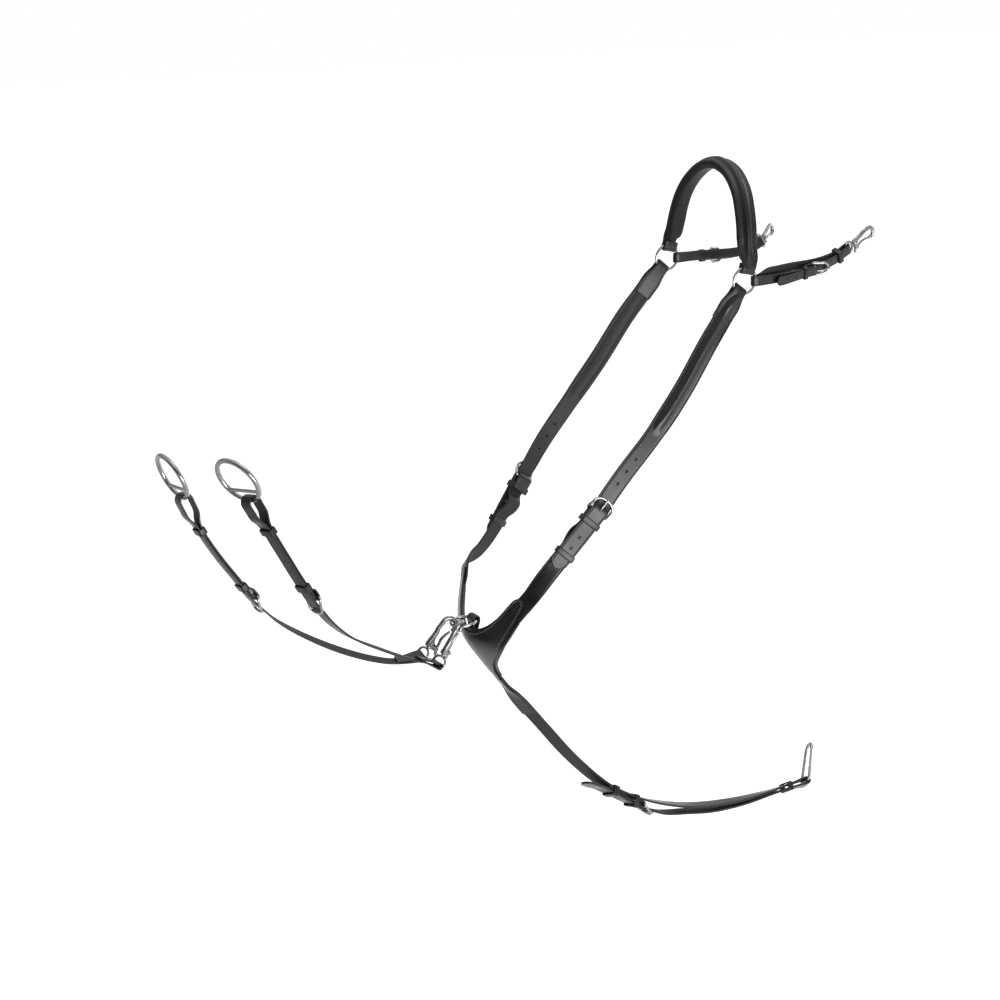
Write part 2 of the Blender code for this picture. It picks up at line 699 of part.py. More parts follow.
def chest_sheet(name, outline, lift, thick, look, pivot):
    """A leather sheet with the given front outline, curved as the chest piece is."""
    flat = bmesh.new()
    outline = outline + [(-y, z) for y, z in reversed(outline) if y > 0.01]
    flat.faces.new([flat.verts.new((y, z, 0)) for y, z in outline])
    cuts = [(Vector((y, 0, 0)), X_AXIS) for y in (-50, -34, -21, -10, 0, 10, 21, 34, 50)]
    cuts += [(Vector((0, z, 0)), Y_AXIS) for z in (-42, -28, -17, -8, 2, 16, 34)]
    for where, normal in cuts:
        whole = flat.verts[:] + flat.edges[:] + flat.faces[:]
        bmesh.ops.bisect_plane(flat, geom=whole, plane_co=where, plane_no=normal, dist=0.01)
    bmesh.ops.dissolve_degenerate(flat, dist=0.3, edges=flat.edges[:])
    bm = bmesh.new()
    front, back = {}, {}
    for vert in flat.verts:
        front[vert] = bm.verts.new(chest_point(vert.co.x, vert.co.y, lift + thick / 2)[0])
        back[vert] = bm.verts.new(chest_point(vert.co.x, vert.co.y, lift - thick / 2)[0])
    for face in flat.faces:
        bm.faces.new([front[v] for v in face.verts])
        bm.faces.new([back[v] for v in reversed(face.verts)])
    for edge in flat.edges:
        if len(edge.link_faces) == 1:
            a, b = edge.verts
            bm.faces.new((front[a], front[b], back[b], back[a]))
    flat.free()
    bmesh.ops.triangulate(bm, faces=bm.faces[:])
    return add_object(name, bm, look, pivot, 50)


def chest_base():
    """The three-armed piece that the shoulder straps and the girth strap are sewn to."""
    side = SHOULDER_HALF_WIDTH
    y, z = ARM_END
    ey, ez = ARM_AHEAD
    upper = (y - ez * side + ey * ARM_SKEW, z + ey * side + ez * ARM_SKEW)
    lower = (y + ez * side - ey * ARM_SKEW, z - ey * side - ez * ARM_SKEW)
    top = [(0, 8), (9, 8.3), (20, 10.5), (33, 18), (44, 29), upper]
    under = [lower, (66, 9), (56, -8), (44, -20), (31, -32), (20, -43), (13, -54)]
    outline = round_outline(top, 1) + round_outline(under, 1) + [(GIRTH_HALF_WIDTH, GIRTH_JOINT)]
    between_rings = Vector((0.0, 0.0, RING_DROP))
    return chest_sheet("chest_yoke", outline, 0.0, CHEST_THICK, LEATHER, between_rings)


def chest_patch():
    """The stitched overlay, with a round tip on each arm."""
    top = [(0, 4), (9, 4.3), (21, 7.5), (32, 15), (43, 26), (52, 39), (60, 52)]
    end = [(60, 52), (64.5, 58), (71.5, 61.5), (77.6, 58.6), (79, 52), (76, 44)]
    under = [(76, 44), (71.5, 31), (63.5, 12.5), (53.5, -4.5), (42, -17), (29, -29), (17.5, -41), (9.5, -54)]
    foot = [(9.5, -54), (8.0, -62), (5.0, -67), (0, -69)]
    outline = round_outline(top, 1) + round_outline(end)[1:] + round_outline(under, 1)[1:]
    outline += round_outline(foot)[1:]
    lift = CHEST_THICK / 2 + 0.45 + PATCH_THICK / 2
    return chest_sheet("chest_patch", outline, lift, PATCH_THICK, LEATHER, chest_point(0, 0)[0])


LOOP_HALF_WIDTH = 7.5
RING_BOW = CHEST_RING_RADIUS - math.sqrt(CHEST_RING_RADIUS**2 - LOOP_HALF_WIDTH**2)
LOOP_FOLD = CHEST_RING_WIRE + 0.6 + STRAP_THICK / 2 + RING_BOW / 2
LOOP_LIFT = -(CHEST_THICK / 2 + 1.2 + STRAP_THICK / 2)
LOOP_TOP = 19.0
LOOP_LEAN = 2.6


def chest_loop():
    """The loop sewn behind the chest piece, which holds the chest ring."""
    stations = []
    for z, lean in ((-20, 0.0), (-8, 0.0), (4, 0.0), (11, 0.3), (LOOP_TOP, LOOP_LEAN)):
        point, out = chest_point(0, z, LOOP_LIFT + lean)
        stations.append((point, out, LOOP_HALF_WIDTH, 0.0))
    up = stations[-1][0] - stations[-2][0]
    stations += turn(stations[-1], up, LOOP_FOLD)
    for z, lift in ((11, -10.4), (1, -8.2), (-9, -7.2), (-18, -7.1)):
        point, out = chest_point(0, z, lift)
        stations.append((point, -out, LOOP_HALF_WIDTH, 0.0))
    pivot = chest_point(0, 0)[0]
    return add_object("chest_ring_loop", strap_mesh(stations, STRAP_THICK), LEATHER, pivot)


def chest_ring_frame():
    """Centre of the chest ring, and its directions forward and sideways."""
    fold = chest_point(0, LOOP_TOP, LOOP_LIFT + LOOP_LEAN - LOOP_FOLD)[0]
    tilt = math.radians(7)
    ahead = Vector((-math.cos(tilt), 0, -math.sin(tilt)))
    return fold + ahead * (CHEST_RING_RADIUS - RING_BOW / 2), ahead


def chest_ring():
    centre, ahead = chest_ring_frame()
    points = circle(centre, CHEST_RING_RADIUS, ahead, Y_AXIS, 24)
    rear = centre - ahead * CHEST_RING_RADIUS
    plane = ahead.cross(Y_AXIS)
    return add_object("chest_ring", tube_mesh(points, CHEST_RING_WIRE, plane, True, 8), NICKEL, rear)


# The two shoulder straps
SHOULDER_LINE = [
    (-8.1, 0.0, -10.4), (-17, 1.5, -22), (-38, 4, -49), (-56, 6, -72), (-94, 9, -126),
    (-136, 11, -177), (-183, 10, -228), (-215, 8, -267), (-250, 4, -306),
]
SHOULDER_FACING = {
    NEAR: [(0.0, 0.0), (-0.1, 0.03), (-0.2, 0.05), (-0.3, 0.08)] + [(-0.35, 0.1)] * 2 + [(-0.28, 0.1)] * 3,
    FAR: [(0.0, 0.0), (0.07, -0.04), (0.15, -0.09), (0.22, -0.13), (0.25, -0.15), (0.18, -0.12)]
    + [(0.04, -0.06), (-0.12, 0.0), (-0.28, 0.05)],
}
SHOULDER_BACK = {NEAR: [0.0] * 9, FAR: [0.0, -0.5, -1.5, -2.5, -3.0, -2.0, 2.0, 6.0, 12.0]}
BILLET_BAR = 333.0
SHOULDER_BAR_FOLD = BUCKLE_WIRE + 0.35 + HEAVY_THICK / 2
BILLET_LIFT = HEAVY_THICK + 0.3


def shoulder_base(side):
    """The line of a shoulder strap from its ring to the arm of the chest piece."""
    knots = []
    rows = zip(SHOULDER_LINE, SHOULDER_FACING[side], SHOULDER_BACK[side])
    for (x, out, z), (ahead, up), back in rows:
        knots.append((x + back, side * (RING_SIDE + out), RING_DROP + z, ahead, side, up))
    if side == NEAR:
        knots.append((-284, -88.5, -471, -0.8, -0.9, 0.17))
    else:
        knots += [(-265, 91, -471, -0.4, 0.9, 0.1), (-284.5, 87.5, -487, -0.62, 0.74, 0.1)]
    for beyond in (34.0, 14.0, 0.45):
        y = ARM_END[0] + ARM_AHEAD[0] * beyond
        z = ARM_END[1] + ARM_AHEAD[1] * beyond
        point, out = chest_point(side * y, z)
        knots.append((*point, *out))
    return Base(knots)


def shoulder_upper(side, tag, base):
    """The raised strap from the withers ring, whose end is the billet with its holes."""
    loop = 9.0
    billet = SHOULDER_HALF_WIDTH
    half = [(6, loop), (22, 12.5), (185, 12.5), (215, billet), (420, billet)]
    fold = FOLD_AT_RING
    stations = run(base, 46, 0, [(0, -fold), (46, -3.5)], half, 12, None, -1)
    stations += turn(stations[-1], -base.frame(0)[1], fold)
    bar = BILLET_BAR
    lift = [(0, fold), (40, 0.0), (bar - 19, 0.0), (bar - 2, BILLET_LIFT), (bar + 67, BILLET_LIFT)]
    lift += [(bar + 84, BILLET_LIFT + 4.0)]
    bead = [(8, 0.0), (24, BEAD_HEIGHT), (188, BEAD_HEIGHT), (210, 0.0)]
    stations += run(base, 6, 212, lift, half, 16, bead)
    stations += run(base, 226, bar - 21, lift, half, 22)
    stations += run(base, bar - 13, bar + 1, lift, half, 7)
    stations += run(base, bar + 14, bar + 74, lift, half, 10)
    tip(stations, 10.0)
    name = "shoulder_strap_" + tag
    obj = add_object(name, strap_mesh(stations, HEAVY_THICK, True), LEATHER, ring_centre(side))
    place = shoulder_place(base)
    slot = slot_cutter("slot_" + name, place, -SHOULDER_BAR_FOLD, 8.0)
    combine(obj, slot, "DIFFERENCE")
    holes = hole_cutter("holes_" + name, base, (250, 269, 288), -3, 3)
    combine(obj, holes, "DIFFERENCE")
    more = hole_cutter("more_holes_" + name, base, (369, 386), BILLET_LIFT - 3, BILLET_LIFT + 3)
    combine(obj, more, "DIFFERENCE")
    return obj


def shoulder_place(base):
    point, ahead, out = base.frame(BILLET_BAR)
    return Place(point, -ahead, out)


def shoulder_lower(side, tag, base):
    """The lower strap, from its fold round the buckle's bar to the chest piece."""
    bar, fold = BILLET_BAR, SHOULDER_BAR_FOLD
    bow = [(bar, 0.0), (bar + 18, 0.0), (bar + 37, -9.5), (bar + 57, -0.2), (bar + 90, 0.0)]
    half = SHOULDER_HALF_WIDTH
    stations = run(base, bar + 18, bar, -2 * fold, half, 9, None, -1)
    stations += turn(stations[-1], -base.frame(bar)[1], fold)
    stations += run(base, bar + 5, bar + 14, bow, half, 9)
    stations += run(base, bar + 24, bar + 74, bow, half, 10)
    stations += run(base, bar + 87, base.length, bow, half, 14)
    name = "shoulder_chape_strap_" + tag
    pivot = chest_point(0, 0)[0]
    obj = add_object(name, strap_mesh(stations, HEAVY_THICK), LEATHER, pivot)
    slot = slot_cutter("slot_" + name, shoulder_place(base), -fold, 8.0)
    combine(obj, slot, "DIFFERENCE")
    return obj


def shoulder_hardware(tag, base):
    place = shoulder_place(base)
    bar = -SHOULDER_BAR_FOLD
    arc = HEAVY_THICK / 2 + 0.6 + BUCKLE_WIRE
    frame = buckle("shoulder_buckle_" + tag, place, SHOULDER_HALF_WIDTH, 20.0, arc - bar, bar, 3.0)
    rest = arc + BUCKLE_WIRE + TONGUE_WIRE + 0.2
    path = [(2.8, 1.6), (6.0, 4.9), (9.5, 5.7), (15, rest - 0.05), (21.6, rest)]
    pin = tongue("shoulder_tongue_" + tag, place, bar, path)
    half = SHOULDER_HALF_WIDTH + 0.4
    high = BILLET_LIFT + HEAVY_THICK / 2 + 0.7
    first = Place(*base.frame(BILLET_BAR + 14))
    low = -2 * SHOULDER_BAR_FOLD - HEAVY_THICK / 2 - 0.4
    upper = keeper("shoulder_keeper_upper_" + tag, first, half, low, high, 8.0)
    second = Place(*base.frame(BILLET_BAR + 64))
    lower = keeper("shoulder_keeper_lower_" + tag, second, half, -2.4, high + 0.5, 8.0)
    return frame, pin, upper, lower


# The girth strap
GIRTH_LINE = [
    (-275, 0, -659, -0.77, -0.15, -0.62), (-236, 0, -707, -0.66, -0.53, -0.53),
    (-190, 0, -762, -0.62, -0.56, -0.55), (-137, 0, -812, -0.45, -0.46, -0.77),
    (-107, 0, -830, -0.39, -0.33, -0.86), (-66, 0, -849, -0.3, -0.15, -0.94),
    (4, 0, -870, -0.1, -0.05, -1), (80, 0, -878, 0.03, -0.15, -1),
    (142, 0, -876, 0.05, -0.45, -0.9), (190, 0, -874, 0.0, -0.75, -0.8),
]
GIRTH_FOLD = 2.0 + 0.5 + HEAVY_THICK / 2
GIRTH_BAR_BACK = 278.0
GIRTH_STUB = HEAVY_THICK / 2 + 0.3 + STRAP_THICK / 2
GIRTH_SEWN = HEAVY_THICK / 2 - 0.3 + STRAP_THICK / 2
GIRTH_CHAPE = GIRTH_STUB + 2 * BAR_FOLD
GIRTH_BILLET = GIRTH_CHAPE + STRAP_THICK / 2 + 0.3 + HEAVY_THICK / 2


def girth_base():
    knots = []
    for z in (GIRTH_JOINT - 0.7, GIRTH_JOINT - 7, GIRTH_JOINT - 19):
        point, out = chest_point(0, z)
        knots.append((*point, *out))
    return Base(knots + GIRTH_LINE)


def girth_strap(base):
    """The strap between the forelegs: out to the snap, and back through its buckle."""
    bar = base.length - GIRTH_BAR_BACK
    end = base.length
    half = [(0, GIRTH_HALF_WIDTH), (end - 40, GIRTH_HALF_WIDTH), (end - 12, 8.2)]
    out = [(bar + 40, 0.0), (end - 60, -1.2), (end - 20, -3.0), (end, -GIRTH_FOLD)]
    stations = run(base, 0, end, out, half, 20, None, 1)
    stations = [(p, -n, w, b) for p, n, w, b in stations]
    stations += turn(stations[-1], base.frame(end)[1], GIRTH_FOLD)
    over = GIRTH_BILLET
    back = [(bar - 95, 14.5), (bar - 74, 8.0), (bar - 60, 6.3), (bar - 44, 6.3), (bar - 26, 8.6)]
    back += [(bar - 2, over)]
    back += [(bar + 20, over - 0.4), (bar + 34, over + 0.6), (bar + 90, 8.0), (end - 60, 2.9)]
    back += [(end - 20, 3.0), (end, GIRTH_FOLD)]
    stations += run(base, end - 9, bar + 40, back, half, 18)
    stations += run(base, bar + 28, bar - 95, back, half, 11)
    tip(stations, 8.0)
    obj = add_object("girth_strap", strap_mesh(stations, HEAVY_THICK), LEATHER, chest_point(0, 0)[0])
    combine(obj, girth_chape(base), "UNION")
    slot = slot_cutter("slot_girth_strap", girth_place(base), GIRTH_CHAPE - BAR_FOLD, 20.0)
    combine(obj, slot, "DIFFERENCE")
    return obj


def girth_place(base):
    return Place(*base.frame(base.length - GIRTH_BAR_BACK))


def girth_chape(base):
    """The short piece sewn under the strap, which holds the girth buckle."""
    bar = base.length - GIRTH_BAR_BACK
    half = GIRTH_HALF_WIDTH - 0.4
    stations = run(base, bar - 20, bar, GIRTH_STUB, half, 10, None, -1)
    stations += turn(stations[-1], base.frame(bar)[1], BAR_FOLD)
    over = [(bar - 60, GIRTH_SEWN), (bar - 42, GIRTH_SEWN), (bar - 24, 6.0), (bar - 3, GIRTH_CHAPE)]
    stations += run(base, bar - 4, bar - 64, over, half, 9)
    return add_object("girth_chape_helper", strap_mesh(stations, STRAP_THICK), LEATHER)


def girth_hardware(base):
    place = girth_place(base)
    bar = GIRTH_CHAPE - BAR_FOLD
    arc = GIRTH_BILLET - 0.4 + HEAVY_THICK / 2 + 0.3 + BUCKLE_WIRE
    frame = buckle("girth_buckle", place, GIRTH_HALF_WIDTH, 21.0, arc - bar, bar, 2.5)
    rest = arc + BUCKLE_WIRE + TONGUE_WIRE + 0.2
    path = [(2.6, bar + 5.0), (5.6, bar + 8.4), (9.2, rest - 1.9), (15.5, rest - 0.3), (22.4, rest)]
    pin = tongue("girth_tongue", place, bar, path)
    half = GIRTH_HALF_WIDTH + 0.4
    s = base.length - GIRTH_BAR_BACK
    near = Place(*base.frame(s - 14))
    high = 12.9
    first = keeper("girth_keeper_buckle", near, half, -2.0, high, 7.0)
    second = keeper("girth_keeper_tip", Place(*base.frame(s - 52)), half, -2.4, 8.9, 9.0)
    third = keeper("girth_keeper_snap", Place(*base.frame(base.length - 32)), half, -4.8, 5.0, 9.0)
    return frame, pin, first, second, third


def girth_snap(base):
    """The long spring hook: its bar lies in the strap's fold, and a gate closes its side."""
    eye, ahead, out = base.frame(base.length)
    across = ahead.cross(out)
    along = Vector((0.5, 0.55, 0.66))
    along = (along - across * along.dot(across)).normalized()
    side = across if across.y < 0 else -across
    normal = along.cross(side)

    def at(a, c):
        return eye + along * a + side * c

    path = [(14.7, 11.2), (6, 11.6), (2.4, 11.2), (0.5, 10.0), (0, 8.4), (0, 0), (0, -8.4), (0.5, -10.0)]
    path += [(2.4, -11.2), (6, -11.6), (20, -11.0), (36, -9.8), (47, -9.2), (54, -7.2), (58.5, -3.2)]
    path += [(59.8, 1.0), (58, 5.4), (54.2, 8.5), (50, 9.9)]
    radii = [2.0] * 16 + [2.1, 2.5, 2.7]
    body = add_object("girth_snap_hook", tube_mesh([at(*p) for p in path], radii, normal), NICKEL, eye)
    gate = [at(a, c) for a, c in ((15.2, 11.2), (22, 10.9), (34, 10.4), (49.4, 9.9))]
    hinge = at(15.2, 11.2)
    gate = add_object("girth_snap_gate", tube_mesh(gate, [1.9, 1.7, 1.7, 1.6], normal), NICKEL, hinge)
    return body, gate


# The fork: two straps from the chest ring to the rein rings
FORK_SCALE = 1.5
FORK_LENGTH = 35.5
FORK_EYE_FOLD = EYE_WIRE + 0.45 + STRAP_THICK / 2
# Where each snap holds the chest ring, and the direction from its eye to its head
FORK_HOLD = {NEAR: (-48.0, (0.56, -0.03, 0.82)), FAR: (12.0, (0.65, -0.21, 0.73))}


def fork_snap(side, tag):
    """Places a snap on the chest ring and returns it."""
    centre, ahead = chest_ring_frame()
    degrees, along = FORK_HOLD[side]
    a = math.radians(degrees)
    spot = centre + (ahead * math.cos(a) + Y_AXIS * math.sin(a)) * CHEST_RING_RADIUS
    tangent = Y_AXIS * math.cos(a) - ahead * math.sin(a)
    along = Vector(along).normalized()
    side_way = (tangent - along * tangent.dot(along)).cross(along).normalized()
    play = (6.0 - 2.1) * FORK_SCALE - CHEST_RING_WIRE - 1.1
    head = spot - (along * 0.8 + side_way * 0.6) * play
    origin = head - along * (FORK_LENGTH * FORK_SCALE)
    half = FORK_HALF_WIDTH + CLEAR + EYE_WIRE
    return Snap("fork_snap_" + tag, origin, along, tangent, FORK_SCALE, FORK_LENGTH, half, spot)


FORK_LINES = {
    NEAR: [
        (-415, -16, -581, -0.05, 0, -1), (-440, -21, -570.5, -0.25, 0, -1),
        (-484, -31, -547, -0.4, 0, -0.9), (-530, -43, -519.5, -0.5, -0.1, -0.85),
        (-562, -53, -491, -0.65, -0.25, -0.7), (-584, -60, -462, -0.75, -0.32, -0.55),
        (-604, -63.5, -430, -0.8, -0.34, -0.47), (-624.5, -67, -395, -0.8, -0.34, -0.47),
        (-643.5, -69.5, -362, -0.8, -0.34, -0.47), (-664.9, -71.4, -323.6, -0.8, -0.34, -0.47),
    ],
    FAR: [
        (-434, 18, -588, -0.0, 0, -1), (-460, 25, -583.5, -0.15, 0, -1),
        (-505, 38, -567, -0.35, 0, -0.93), (-553, 50, -541, -0.5, -0.05, -0.85),
        (-586, 56, -517, -0.65, -0.08, -0.7),
        (-610, 60, -491, -0.8, -0.08, -0.55), (-630, 63, -462, -0.88, -0.08, -0.42),
        (-652, 67, -430, -0.91, -0.08, -0.38), (-673, 71, -394, -0.91, -0.08, -0.38),
        (-689.9, 74.3, -355, -0.91, -0.08, -0.38),
    ],
}
FORK_TOP_LOOP = 8.0


def fork_base(side, snap):
    """The line of one side of the fork, whose start turns about the bar of the snap's eye."""
    first = Base([(*snap.o, 0, 0, -1), *FORK_LINES[side]])
    ahead = first.frame(0)[1]
    across = ahead.cross(snap.a).normalized()
    out = across.cross(ahead)
    if out.z > 0:
        out = -out
    return Base([(*snap.o, *out), *FORK_LINES[side]])


def fork_marks(base):
    """Lengths of the buckle's bar, the lower and the upper keeper."""
    upper = base.length - 44.0
    return upper - 111.0, upper - 91.0, upper


def fork_strap(side, tag, base):
    """From the snap's eye through the buckle, round the rein ring and back to the bar."""
    bar, _, upper = fork_marks(base)
    half, end = FORK_HALF_WIDTH, base.length
    fold = FORK_EYE_FOLD
    stations = run(base, 34, 0, [(0, -fold), (34, -2.9)], half, 11, None, -1)
    stations += turn(stations[-1], -base.frame(0)[1], fold)
    top = FORK_TOP_LOOP
    lift = [(0, fold), (30, 0.0), (bar - 22, 0.0), (bar - 2, 1.7), (upper + 5, 1.7)]
    lift += [(upper + 26, top - 0.3), (end, top)]
    stations += run(base, 7, bar - 22, lift, half, 18)
    stations += run(base, bar - 11, end, lift, half, 11)
    stations += turn(stations[-1], base.frame(end)[1], top, 180, 8)
    under = [(bar, -1.4), (bar + 20, -1.5), (upper + 5, -1.5), (upper + 26, -top + 0.3), (end, -top)]
    stations += run(base, end - 8, bar, under, half, 13, None, -1)
    point, ahead, out = base.frame(bar)
    centre = point + out * (-1.4 - BAR_FOLD)
    for i in range(1, 7):
        a = math.radians(180) * i / 6
        spoke = out * math.cos(a) - ahead * math.sin(a)
        stations.append((centre + spoke * BAR_FOLD, -spoke, half, 0.0))
    stations += run(base, bar + 9, bar + 10, -1.4 - 2 * BAR_FOLD, half, 9, None, 1)
    name = "fork_strap_" + tag
    obj = add_object(name, strap_mesh(stations, STRAP_THICK), LEATHER, base.frame(0)[0])
    return obj


def fork_hardware(tag, base):
    bar, lower, upper = fork_marks(base)
    point, ahead, out = base.frame(bar)
    place = Place(point, -ahead, out)
    low = -1.4 - BAR_FOLD
    arc = STRAP_THICK / 2 + 0.3 + BUCKLE_WIRE
    frame = buckle("fork_buckle_" + tag, place, FORK_HALF_WIDTH, 21.0, arc - low, low, 2.0)
    half = FORK_HALF_WIDTH + 0.4
    first = keeper("fork_keeper_lower_" + tag, Place(*base.frame(lower)), half, -3.5, 3.6, 10.0)
    second = keeper("fork_keeper_upper_" + tag, Place(*base.frame(upper)), half, -3.7, 4.0, 9.0)
    return frame, first, second


def rein_ring(tag, base):
    """The ring that a rein runs through, with a straight bar across its lower part."""
    point, ahead, out = base.frame(base.length)
    across = ahead.cross(out)
    bow = BIT_RING_RADIUS - math.sqrt(BIT_RING_RADIUS**2 - FORK_HALF_WIDTH**2)
    wire_at = FORK_TOP_LOOP - STRAP_THICK / 2 - 0.5 - BIT_RING_WIRE - bow
    spot = point + ahead * wire_at
    centre = spot + ahead * BIT_RING_RADIUS
    points = circle(centre, BIT_RING_RADIUS, ahead, across, 28)
    ring = add_object("rein_ring_" + tag, tube_mesh(points, BIT_RING_WIRE, out, True, 8), NICKEL, spot)
    reach = math.sqrt(BIT_RING_RADIUS**2 - BIT_RING_BAR**2)
    middle = centre - ahead * BIT_RING_BAR
    ends = [middle - across * reach, middle, middle + across * reach]
    bar = add_object("bar_of_" + tag, tube_mesh(ends, 1.7, out), NICKEL, spot)
    combine(ring, bar, "UNION")
    return ring


# Assembly
def saddle_side(side, tag, pad):
    ring = withers_ring(side)
    attach(ring, pad)
    strap, base = saddle_strap(side, tag)
    attach(strap, pad)
    for piece in saddle_hardware(side, tag, base):
        attach(piece, strap)
    eye, hook, trigger = saddle_snap(side, tag, base)
    attach(eye, strap)
    attach(hook, eye)
    attach(trigger, hook)


def shoulder_side(side, tag, yoke):
    base = shoulder_base(side)
    for piece in (shoulder_upper(side, tag, base), shoulder_lower(side, tag, base)):
        attach(piece, yoke)
    for piece in shoulder_hardware(tag, base):
        attach(piece, yoke)


def fork_side(side, tag, ring):
    snap = fork_snap(side, tag)
    base = fork_base(side, snap)
    hook, trigger = snap.body(), snap.trigger()
    _, ahead, out = base.frame(0)
    eye = snap.eye(ahead.cross(out))
    attach(hook, ring)
    attach(trigger, hook)
    attach(eye, hook)
    strap = fork_strap(side, tag, base)
    attach(strap, eye)
    for piece in fork_hardware(tag, base):
        attach(piece, strap)
    attach(rein_ring(tag, base), strap)


def build():
    clear_scene()
    pad = wither_strap()
    attach(wither_padding(), pad)
    yoke = chest_base()
    attach(yoke, pad)
    for piece in (chest_patch(), chest_loop()):
        attach(piece, yoke)
    ring = chest_ring()
    attach(ring, yoke)
    for side, tag in ((NEAR, "near"), (FAR, "far")):
        saddle_side(side, tag, pad)
        shoulder_side(side, tag, yoke)
        fork_side(side, tag, ring)
    base = girth_base()
    for piece in (girth_strap(base), *girth_hardware(base)):
        attach(piece, yoke)
    hook, gate = girth_snap(base)
    attach(hook, yoke)
    attach(gate, hook)


build()
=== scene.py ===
"""Looks of a martingale breastplate: black bridle leather with nickel-plated hardware.

Lengths are in millimetres, as in the part's source, from a point that is straight above the
middle between the withers rings and level with the underside of the pad's crown. CROWN is
where that crown lies from there. It is the frame's origin.
"""

import math

import bmesh
import bpy
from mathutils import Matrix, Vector


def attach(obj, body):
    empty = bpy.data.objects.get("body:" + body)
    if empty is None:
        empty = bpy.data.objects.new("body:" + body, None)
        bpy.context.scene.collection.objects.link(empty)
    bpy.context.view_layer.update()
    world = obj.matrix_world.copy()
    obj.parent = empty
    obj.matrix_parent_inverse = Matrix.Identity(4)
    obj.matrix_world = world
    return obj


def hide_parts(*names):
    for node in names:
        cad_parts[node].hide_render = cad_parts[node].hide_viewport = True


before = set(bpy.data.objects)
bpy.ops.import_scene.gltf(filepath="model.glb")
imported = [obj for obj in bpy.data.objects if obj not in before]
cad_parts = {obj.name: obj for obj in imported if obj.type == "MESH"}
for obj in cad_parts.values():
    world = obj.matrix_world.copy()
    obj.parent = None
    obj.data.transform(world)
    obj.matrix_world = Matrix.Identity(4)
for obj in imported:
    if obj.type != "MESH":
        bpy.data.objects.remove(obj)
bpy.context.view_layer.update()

MM = 0.001
CLEAR = 0.4
LAYER_GAP = 0.3  # Between two layers of a strap
BAR_GAP = 0.35  # Between a wire and the strap that is folded round it
EYE_GAP = 0.45
RING_GAP = 0.5
TONGUE_GAP = 0.2  # Between a tongue's end and the buckle's frame
CROWN_BACK = 17.0
STRAP_THICK = 2.5
HEAVY_THICK = 3.0
PAD_THICK = 8.0
PAD_GAP = 0.65
PAD_HALF_WIDTH = 13.5
WITHER_HALF_WIDTH = 12.0
SHOULDER_HALF_WIDTH = 11.5
SADDLE_HALF_WIDTH = 6.25
FORK_HALF_WIDTH = 8.0
GIRTH_HALF_WIDTH = 10.0
BEAD_HEIGHT = 3.6
KEEPER_WALL = 1.5
CHEST_THICK = 3.5
PATCH_THICK = 1.8
RING_RADIUS = 16.5
RING_WIRE = 1.8
CHEST_RING_RADIUS = 16.0
CHEST_RING_WIRE = 2.0
BIT_RING_RADIUS = 29.5
BIT_RING_WIRE = 2.3
BIT_RING_BAR = 15.0
EYE_WIRE = 1.6
BUCKLE_WIRE = 1.4
TONGUE_WIRE = 1.0
FULLER = 0.3  # How much more wire buckles and rein rings have than the CAD
RING_SIDE = 89.0
RING_DROP = -127.0
NEAR, FAR = -1.0, 1.0
X_AXIS, Y_AXIS, Z_AXIS = Vector((1, 0, 0)), Vector((0, 1, 0)), Vector((0, 0, 1))
CROWN = Vector((CROWN_BACK, 0.0, 0.0))
FINE = 2.6  # The usual distance between the stations of a strap
HOLE_RADIUS, SMALL_HOLE = 1.25, 1.2
HOLE_SKIN = 0.12  # Left in the middle of a hole, either side of the centre


# Materials
def grey(value):
    return (value, value, value, 1.0)


def shade(colour, factor=1.0):
    return (*[v * factor for v in colour], 1.0)


def feed(tree, value, socket):
    """Gives a socket a link or a constant."""
    if isinstance(value, bpy.types.NodeSocket):
        tree.links.new(value, socket)
    else:
        socket.default_value = value


def node(tree, kind, *feeds, **values):
    """A node with its first inputs in order, and other inputs and properties by name."""
    item = tree.nodes.new("ShaderNode" + kind)
    for key, value in values.items():
        if key in item.inputs:
            feed(tree, value, item.inputs[key])
        else:
            setattr(item, key, value)
    for value, socket in zip(feeds, item.inputs):
        feed(tree, value, socket)
    return item


def maths(tree, operation, *feeds):
    return node(tree, "Math", *feeds, operation=operation).outputs[0]


def blend(tree, factor, first, second, way="MIX"):
    item = node(tree, "Mix", factor, data_type="RGBA", blend_type=way)
    feed(tree, first, item.inputs[6])
    feed(tree, second, item.inputs[7])
    return item.outputs[2]


def ramp(tree, source, stops):
    item = node(tree, "ValToRGB", source)
    ends = item.color_ramp.elements
    ends[0].position, ends[0].color = stops[0]
    ends[1].position, ends[1].color = stops[-1]
    for place, colour in stops[1:-1]:
        ends.new(place).color = colour
    return item.outputs["Color"]


def texture(tree, kind, **values):
    """A texture in the object's own coordinates."""
    return node(tree, "Tex" + kind, node(tree, "TexCoord").outputs["Object"], **values)


def relief(tree, shader, height, strength, distance):
    bump = node(tree, "Bump", Strength=strength, Distance=distance, Height=height)
    feed(tree, bump.outputs["Normal"], shader.inputs["Normal"])


def new_material(name, constants):
    mat = bpy.data.materials.new(name)
    mat.use_nodes = True
    shader = mat.node_tree.nodes["Principled BSDF"]
    for key, value in constants.items():
        shader.inputs[key].default_value = value
    return mat, mat.node_tree, shader


